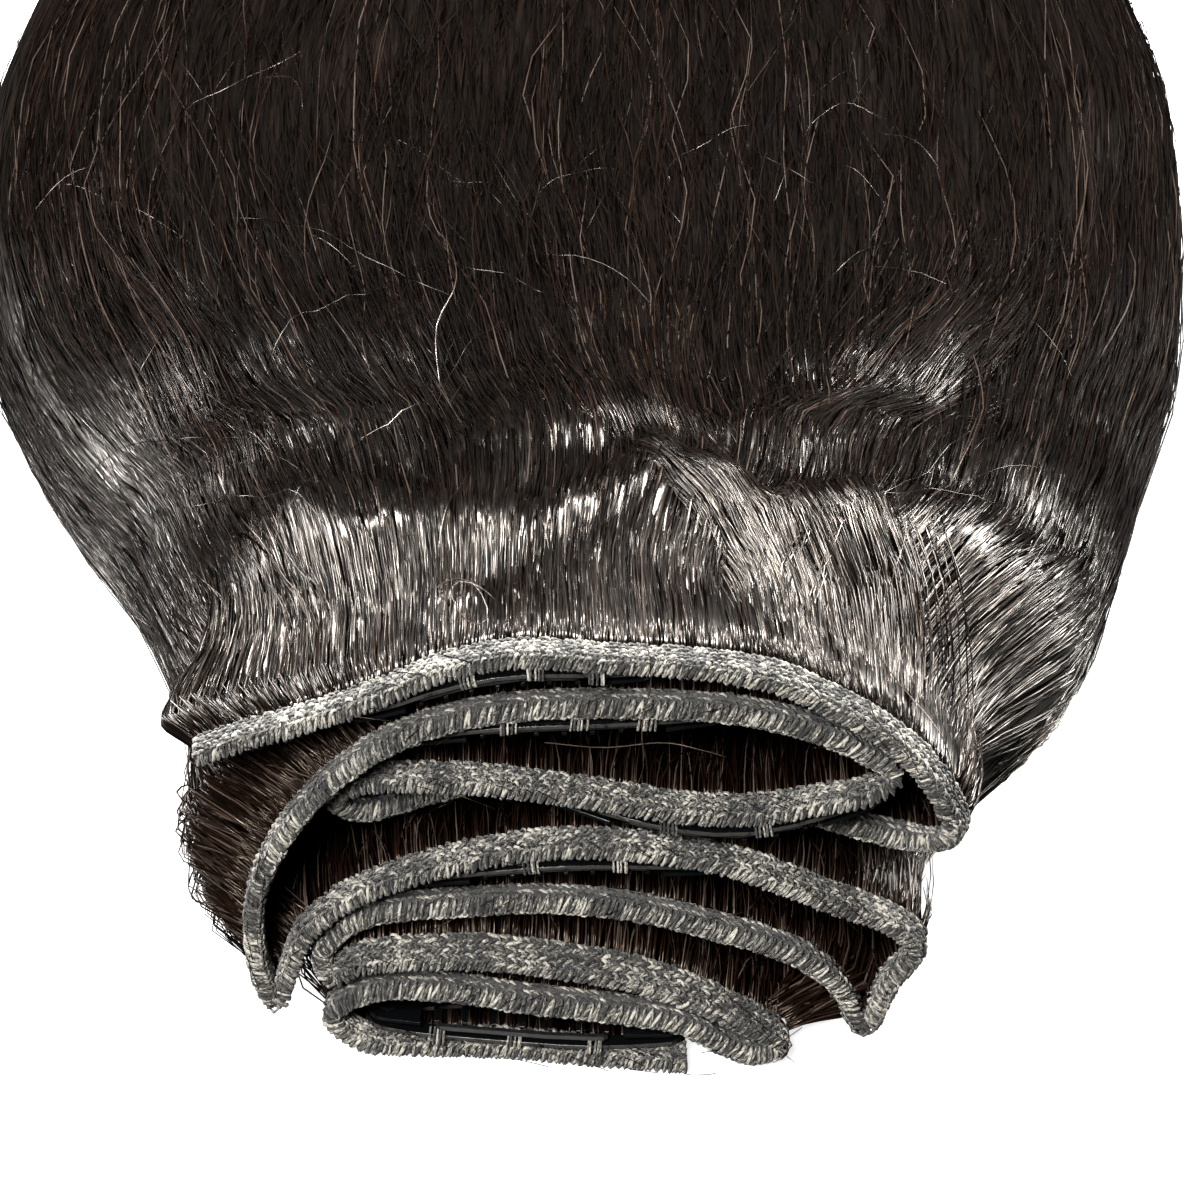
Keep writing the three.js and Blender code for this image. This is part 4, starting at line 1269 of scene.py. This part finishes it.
        # the + 0.05 lightens the locks a little as a painted highlight
        return tube_skin(paths, radii, np.array([0.0, 0.0, 1.0]), 3, self.shades(lock.count, rng) + 0.05)

    def lay_profile(self) -> tuple[Array, Array]:
        """The top lay's upper side: its places across and their heights."""
        start, end = self.flow.route.span("top")
        line = self.flow.route.at(np.linspace(start, end, 80)).point(self.flow.route.width, 0.6)
        return line[:, 0], line[:, 2]

    def flyaways(self) -> Skin:
        """The loose hairs that the comb left, and a scatter of short curled ones.

        Returns:
            The hairs' skin.
        """
        flow, r = self.flow, self.flow.route
        rng = np.random.default_rng(self.seed + 13)
        steps = 16
        named = []
        for strand in FLYAWAYS:
            track = np.array(strand) * (r.half_width, 1.0, r.height)
            knots = np.linspace(0, 1, len(track))
            named.append(np.stack([smooth_rows(np.linspace(0, 1, steps), knots, track[:, k])
                                   for k in range(3)], axis=-1))
        count = self.loose_hairs
        t = np.linspace(0, 1, steps)
        y0 = rng.uniform(8, 190, count)[:, None]
        side0 = rng.uniform(-0.97, 0.97, count)[:, None]
        heading = rng.normal(0, 0.22, count)[:, None]
        curl = rng.normal(0, 0.5, count)[:, None]
        reach = rng.uniform(12, 55, count)[:, None]
        angle = heading + curl * t
        y = y0 + np.cumsum(np.cos(angle), axis=1) * reach / steps
        lean, half, shoulder, top = flow.section(y)
        side = np.clip(side0 + np.cumsum(np.sin(angle), axis=1) * reach / steps / half, -1.06, 1.06)
        rise = flow.crest(side)
        lift = 0.2 + rng.uniform(0.3, 1.6, (count, 1)) * np.sin(np.pi * t)
        loose = flow.on_hank(side, rise, y, lift)
        loose[..., 0] = lean + half * side
        near = smooth_step(y, 30, 8)
        level = np.interp(loose[..., 0], *self.lay_profile()) + lift
        loose[..., 2] += near * (level - loose[..., 2]) * (rise > 0.3)
        distance = rng.uniform(1, r.length - 1, self.fuzz_hairs)
        f = r.at(distance)
        short = rng.uniform(1.5, 6.0, (len(distance), 1))
        fan = rng.normal(0, 0.8, (len(distance), 1)) + rng.normal(0, 1.2, (len(distance), 1)) * t
        stub = f.point(0.3, rng.uniform(-0.8, 0.8, len(distance)))[:, None, :]
        fuzz = (stub + (np.cumsum(np.sin(fan), axis=1) * short / steps)[..., None] * f.tangent[:, None, :]
                - (np.cumsum(np.cos(fan), axis=1) * short / steps * 0.45)[..., None] * np.array([0, 1.0, 0])
                + (np.cumsum(np.cos(fan + 1), axis=1) * short / steps)[..., None] * np.array([0, 0, 0.6]))
        paths = np.concatenate([np.array(named), loose, fuzz])
        paths[..., 2] = np.maximum(paths[..., 2], 0.15)
        radii = np.full(paths.shape[:2], 0.048)
        radii[:len(named)] = 0.07
        shade = np.concatenate([np.full(len(named), 0.5), rng.uniform(0.0, 0.3, len(paths) - len(named))])
        return tube_skin(paths, radii, np.array([0.13, 0.21, 1.0]), 3, shade)

    def tuft(self) -> Skin:
        """The hair that fans out of the sixth lay's fold towards the fifth lay's turned-under end.

        A strand runs from the fold to x = fold + fan * s, y = fold + reach * t, where s is the
        smooth step of t over its first third.

        Returns:
            The strands' skin.
        """
        r = self.flow.route
        rng = np.random.default_rng(self.seed + 21)
        count, steps = self.tuft_hairs, 8
        fold = r.span("sixth")[1] + rng.uniform(0.0, 5.0, count)
        root = r.at(fold).point(r.width - 0.6, 0.0)
        t = np.linspace(0, 1, steps)
        fan = rng.uniform(0.0, 10.5, (count, 1))
        reach = rng.uniform(16, 34, (count, 1))
        x = root[:, :1] + fan * smooth_step(t, 0.0, 0.35) + rng.normal(0, 0.5, (count, 1)) * t
        y = root[:, 1:2] + reach * t
        level = rng.uniform(0.4, 8.0, (count, 1))
        z = root[:, 2:] + (level - root[:, 2:]) * smooth_step(t, 0.0, 0.5)
        radii = 0.13 * rng.uniform(0.8, 1.2, (count, 1)) * np.interp(t, (0, 0.9, 1), (1, 1, 0.4))
        # the + 0.2 lightens these hairs as painted light, standing in for the light that reaches them out of
        # the fold
        return tube_skin(np.stack([x, y, z], axis=-1), radii, np.array([0.0, 0.0, 1.0]), 3,
                         self.shades(count, rng) + 0.2)

    def tips(self) -> Skin:
        """The strands that thin out beyond the body's end, longest in the middle.

        Returns:
            The strands' skin.
        """
        flow = self.flow
        rng = np.random.default_rng(self.seed + 31)
        count, steps = self.tip_hairs, 7
        side = rng.uniform(-0.97, 0.97, (count, 1))
        end = 446.0 + rng.uniform(-10.0, 15.0, (count, 1)) - 20.0 * side**2
        start = rng.uniform(330.0, 415.0, (count, 1))
        y = start + (end - start) * np.linspace(0, 1, steps)
        rise = np.clip(rng.uniform(-0.6, 1.3, (count, 1)), -0.5, 1) * flow.crest(side)
        lean, half, shoulder, top = flow.section(np.minimum(y, flow.knots[-1]))
        x = lean + half * side * (1 + 0.1 * rng.normal(0, 1, (count, 1)) * smooth_step(y, 400.0, 460.0))
        thin = 1 - 0.75 * smooth_step(y, 415.0, 462.0)
        z = (shoulder + rise * np.where(rise > 0, top - shoulder, shoulder) + 0.2) * thin
        paths = np.stack([x + rng.normal(0, 0.8, (count, 1)) * np.sin(y / 17.0 + 6 * side), y,
                          np.maximum(z, 0.3)], axis=-1)
        radii = 0.17 * rng.uniform(0.7, 1.2, (count, 1)) * np.linspace(1, 0.35, steps)
        return tube_skin(paths, radii, np.array([0.0, 0.0, 1.0]), 3, self.shades(count, rng))

    def fringe(self) -> Skin:
        """Short root hairs along the whole band, which show in the gaps between its lays."""
        r = self.flow.route
        rng = np.random.default_rng(self.seed + 5)
        count, steps = self.fringe_hairs, 4
        distance = rng.uniform(r.span("top")[1], r.length - 0.2, count)
        f = r.at(distance)
        upside = np.sign(f.through[:, 2] + 1e-6)
        height = upside * rng.uniform(0.0, 0.75, count)
        root = f.point(r.width - 0.5, height)
        span = rng.uniform(5, 18, count)
        share = np.linspace(0, 1, steps) ** 1.3
        sway = rng.normal(0, 1.2, (count, 1)) * share**2
        lift = (0.5 + 0.9 * rng.random((count, 1))) * np.sin(np.pi * share * 0.6)
        bend = (1 - np.exp(-3.0 * share))[:, None] * 0.3
        paths = (root[:, None, :] + (share[:, None] - bend) * span[:, None, None] * np.array([0, 1.0, 0])
                 + bend * span[:, None, None] * f.across[:, None, :]
                 + sway[..., None] * f.tangent[:, None, :]
                 + (lift * upside[:, None])[..., None] * f.through[:, None, :])
        paths[..., 2] = np.maximum(paths[..., 2], 0.2)
        radii = 0.09 * rng.uniform(0.8, 1.2, (count, 1)) * np.interp(share, (0, 0.7, 1), (1, 1, 0.4))
        # the + 0.24 lightens these hairs as painted light, standing in for the light that reaches them in the
        # gaps
        return tube_skin(paths, radii, np.array([0.0, 0.0, 1.0]), 3, self.shades(count, rng) + 0.24)

    def build(self, shop: Workshop) -> None:
        """Makes the roots, the crown, the body, which stands for the CAD hair, and the strands."""
        combed = HairFinish("combed_dark_brown_hair").build()
        packed = HairFinish("dense_dark_brown_hair", gloss=0.4).build()
        r = self.flow.route
        rng = np.random.default_rng(self.seed)
        shop.make("hair_body", self.body(), packed, ("hair",))
        shop.make("hair_roots", self.roots(), packed)
        shop.make("hair_crown", self.crown(), packed)
        shop.make("hair_fringe", self.fringe(), combed)
        shop.make("hair_left_puff", self.left_puff(), combed)
        shop.make("hair_tips", self.tips(), combed)
        shop.make("hair_tuft", self.tuft(), combed)
        shop.make("hair_side_strands", self.side_strands(), combed)
        for lock in LOCKS:
            shop.make(f"hair_lock_{lock.name}", self.lock(lock), combed)
        shop.make("hair_flyaways", self.flyaways(), combed)
        start, end = r.span("top")
        for i, count in enumerate(self.long_hairs):
            distance = rng.uniform(start + 0.2, end + 5.0, count)
            reach = rng.uniform(110, 330, count)
            strands = self.rooted(distance, reach, 23, self.seed + i)
            shop.make(f"hair_strands_{i + 1}", strands, combed)


@dataclass(frozen=True)
class Softbox:
    """A square soft light: its place in metres from the camera's target, its side and its power."""

    name: str
    place: tuple[float, float, float]
    size: float
    watts: float


SOFTBOXES = (
    Softbox("back_softbox", (0.05, 0.62, 0.62), 0.22, 22.0),
    Softbox("front_softbox", (-0.25, -0.75, 0.55), 0.35, 19.0),
    Softbox("left_rim_softbox", (-0.62, 0.62, 0.3), 0.3, 12.0),
    Softbox("right_rim_softbox", (0.62, 0.62, 0.3), 0.3, 14.0),
)


@dataclass
class Studio:
    """The floor, the lights and the camera at the photograph's angle."""

    shift: Array
    target: tuple[float, float, float] = (1.5, 20.8, 38.0)
    distance: float = 600.0
    elevation: float = 27.0
    lens: float = 181.8
    floor_half: float = 4.0  # metres
    sky: float = 0.03

    def aim(self, thing: bpy.types.Object, place: Array, target: Array) -> None:
        """Puts a thing at a place, in metres, and turns its -Z to the target."""
        thing.location = place
        thing.rotation_euler = Vector(target - place).to_track_quat("-Z", "Y").to_euler()
        bpy.context.scene.collection.objects.link(thing)

    def light(self, box: Softbox) -> None:
        """Adds a soft light that faces the weft."""
        data = bpy.data.lights.new(box.name, "AREA")
        data.shape = "SQUARE"
        data.size = box.size
        data.energy = box.watts
        target = (np.array(self.target) + self.shift) * MM
        self.aim(bpy.data.objects.new(box.name, data), target + np.array(box.place), target)

    def build(self) -> None:
        """Makes the floor, the world, the lights and the camera."""
        side = self.floor_half
        mesh = bpy.data.meshes.new("floor")
        mesh.from_pydata([(-side, -side, 0), (side, -side, 0), (side, side, 0), (-side, side, 0)], [],
                         [(0, 1, 2, 3)])
        mesh.materials.append(FloorFinish().build())
        floor = bpy.data.objects.new("floor", mesh)
        bpy.context.scene.collection.objects.link(floor)
        floor.visible_diffuse = False  # the white sweep is seen, and doesn't fill the dark hair
        floor.visible_glossy = False
        world = bpy.data.worlds.new("studio")
        world.use_nodes = True
        background = world.node_tree.nodes["Background"]
        background.inputs["Color"].default_value = (1, 1, 1, 1)
        background.inputs["Strength"].default_value = self.sky
        bpy.context.scene.world = world
        for box in SOFTBOXES:
            self.light(box)
        target = (np.array(self.target) + self.shift) * MM
        tilt = np.radians(self.elevation)
        place = target + self.distance * MM * np.array([0.0, -np.cos(tilt), np.sin(tilt)])
        data = bpy.data.cameras.new("photo_camera")
        data.lens = self.lens
        data.sensor_width = 36.0
        camera = bpy.data.objects.new("photo_camera", data)
        self.aim(camera, place, target)
        bpy.context.scene.camera = camera
        bpy.context.scene.view_settings.view_transform = "Standard"


def dress_clips() -> None:
    """Gives the snap clips' solids their lacquer and rubber."""
    rubber = SiliconeFinish().build()
    # the frames get the stronger painted front highlight and lighter bare steel, the other steel parts a
    # weaker one
    rubbed_and_highlit = LacqueredSteel().build()
    less_highlit = LacqueredSteel("black_lacquered_steel_less_highlit", bare="#3a3938", front_highlight=0.4).build()
    for name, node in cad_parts.items():
        if name.startswith("clip_"):
            for slot in node.material_slots:
                slot.material = (rubber if name.endswith("_grip")
                                 else rubbed_and_highlit if name.endswith("_frame") else less_highlit)


def main() -> None:
    """Builds the extension and its set."""
    route = WeftRoute()
    LOG.info("weft: %.1f mm in %d lays, shift %s", route.length, len(LAYS), np.round(route.shift, 2))
    shop = Workshop(route.shift)
    Studio(route.shift).build()
    WeftBand(route).build(shop)
    ClipThreads(route).build(shop)
    Hair(HairFlow(route)).build(shop)
    dress_clips()


if __name__ == "__main__":
    main()
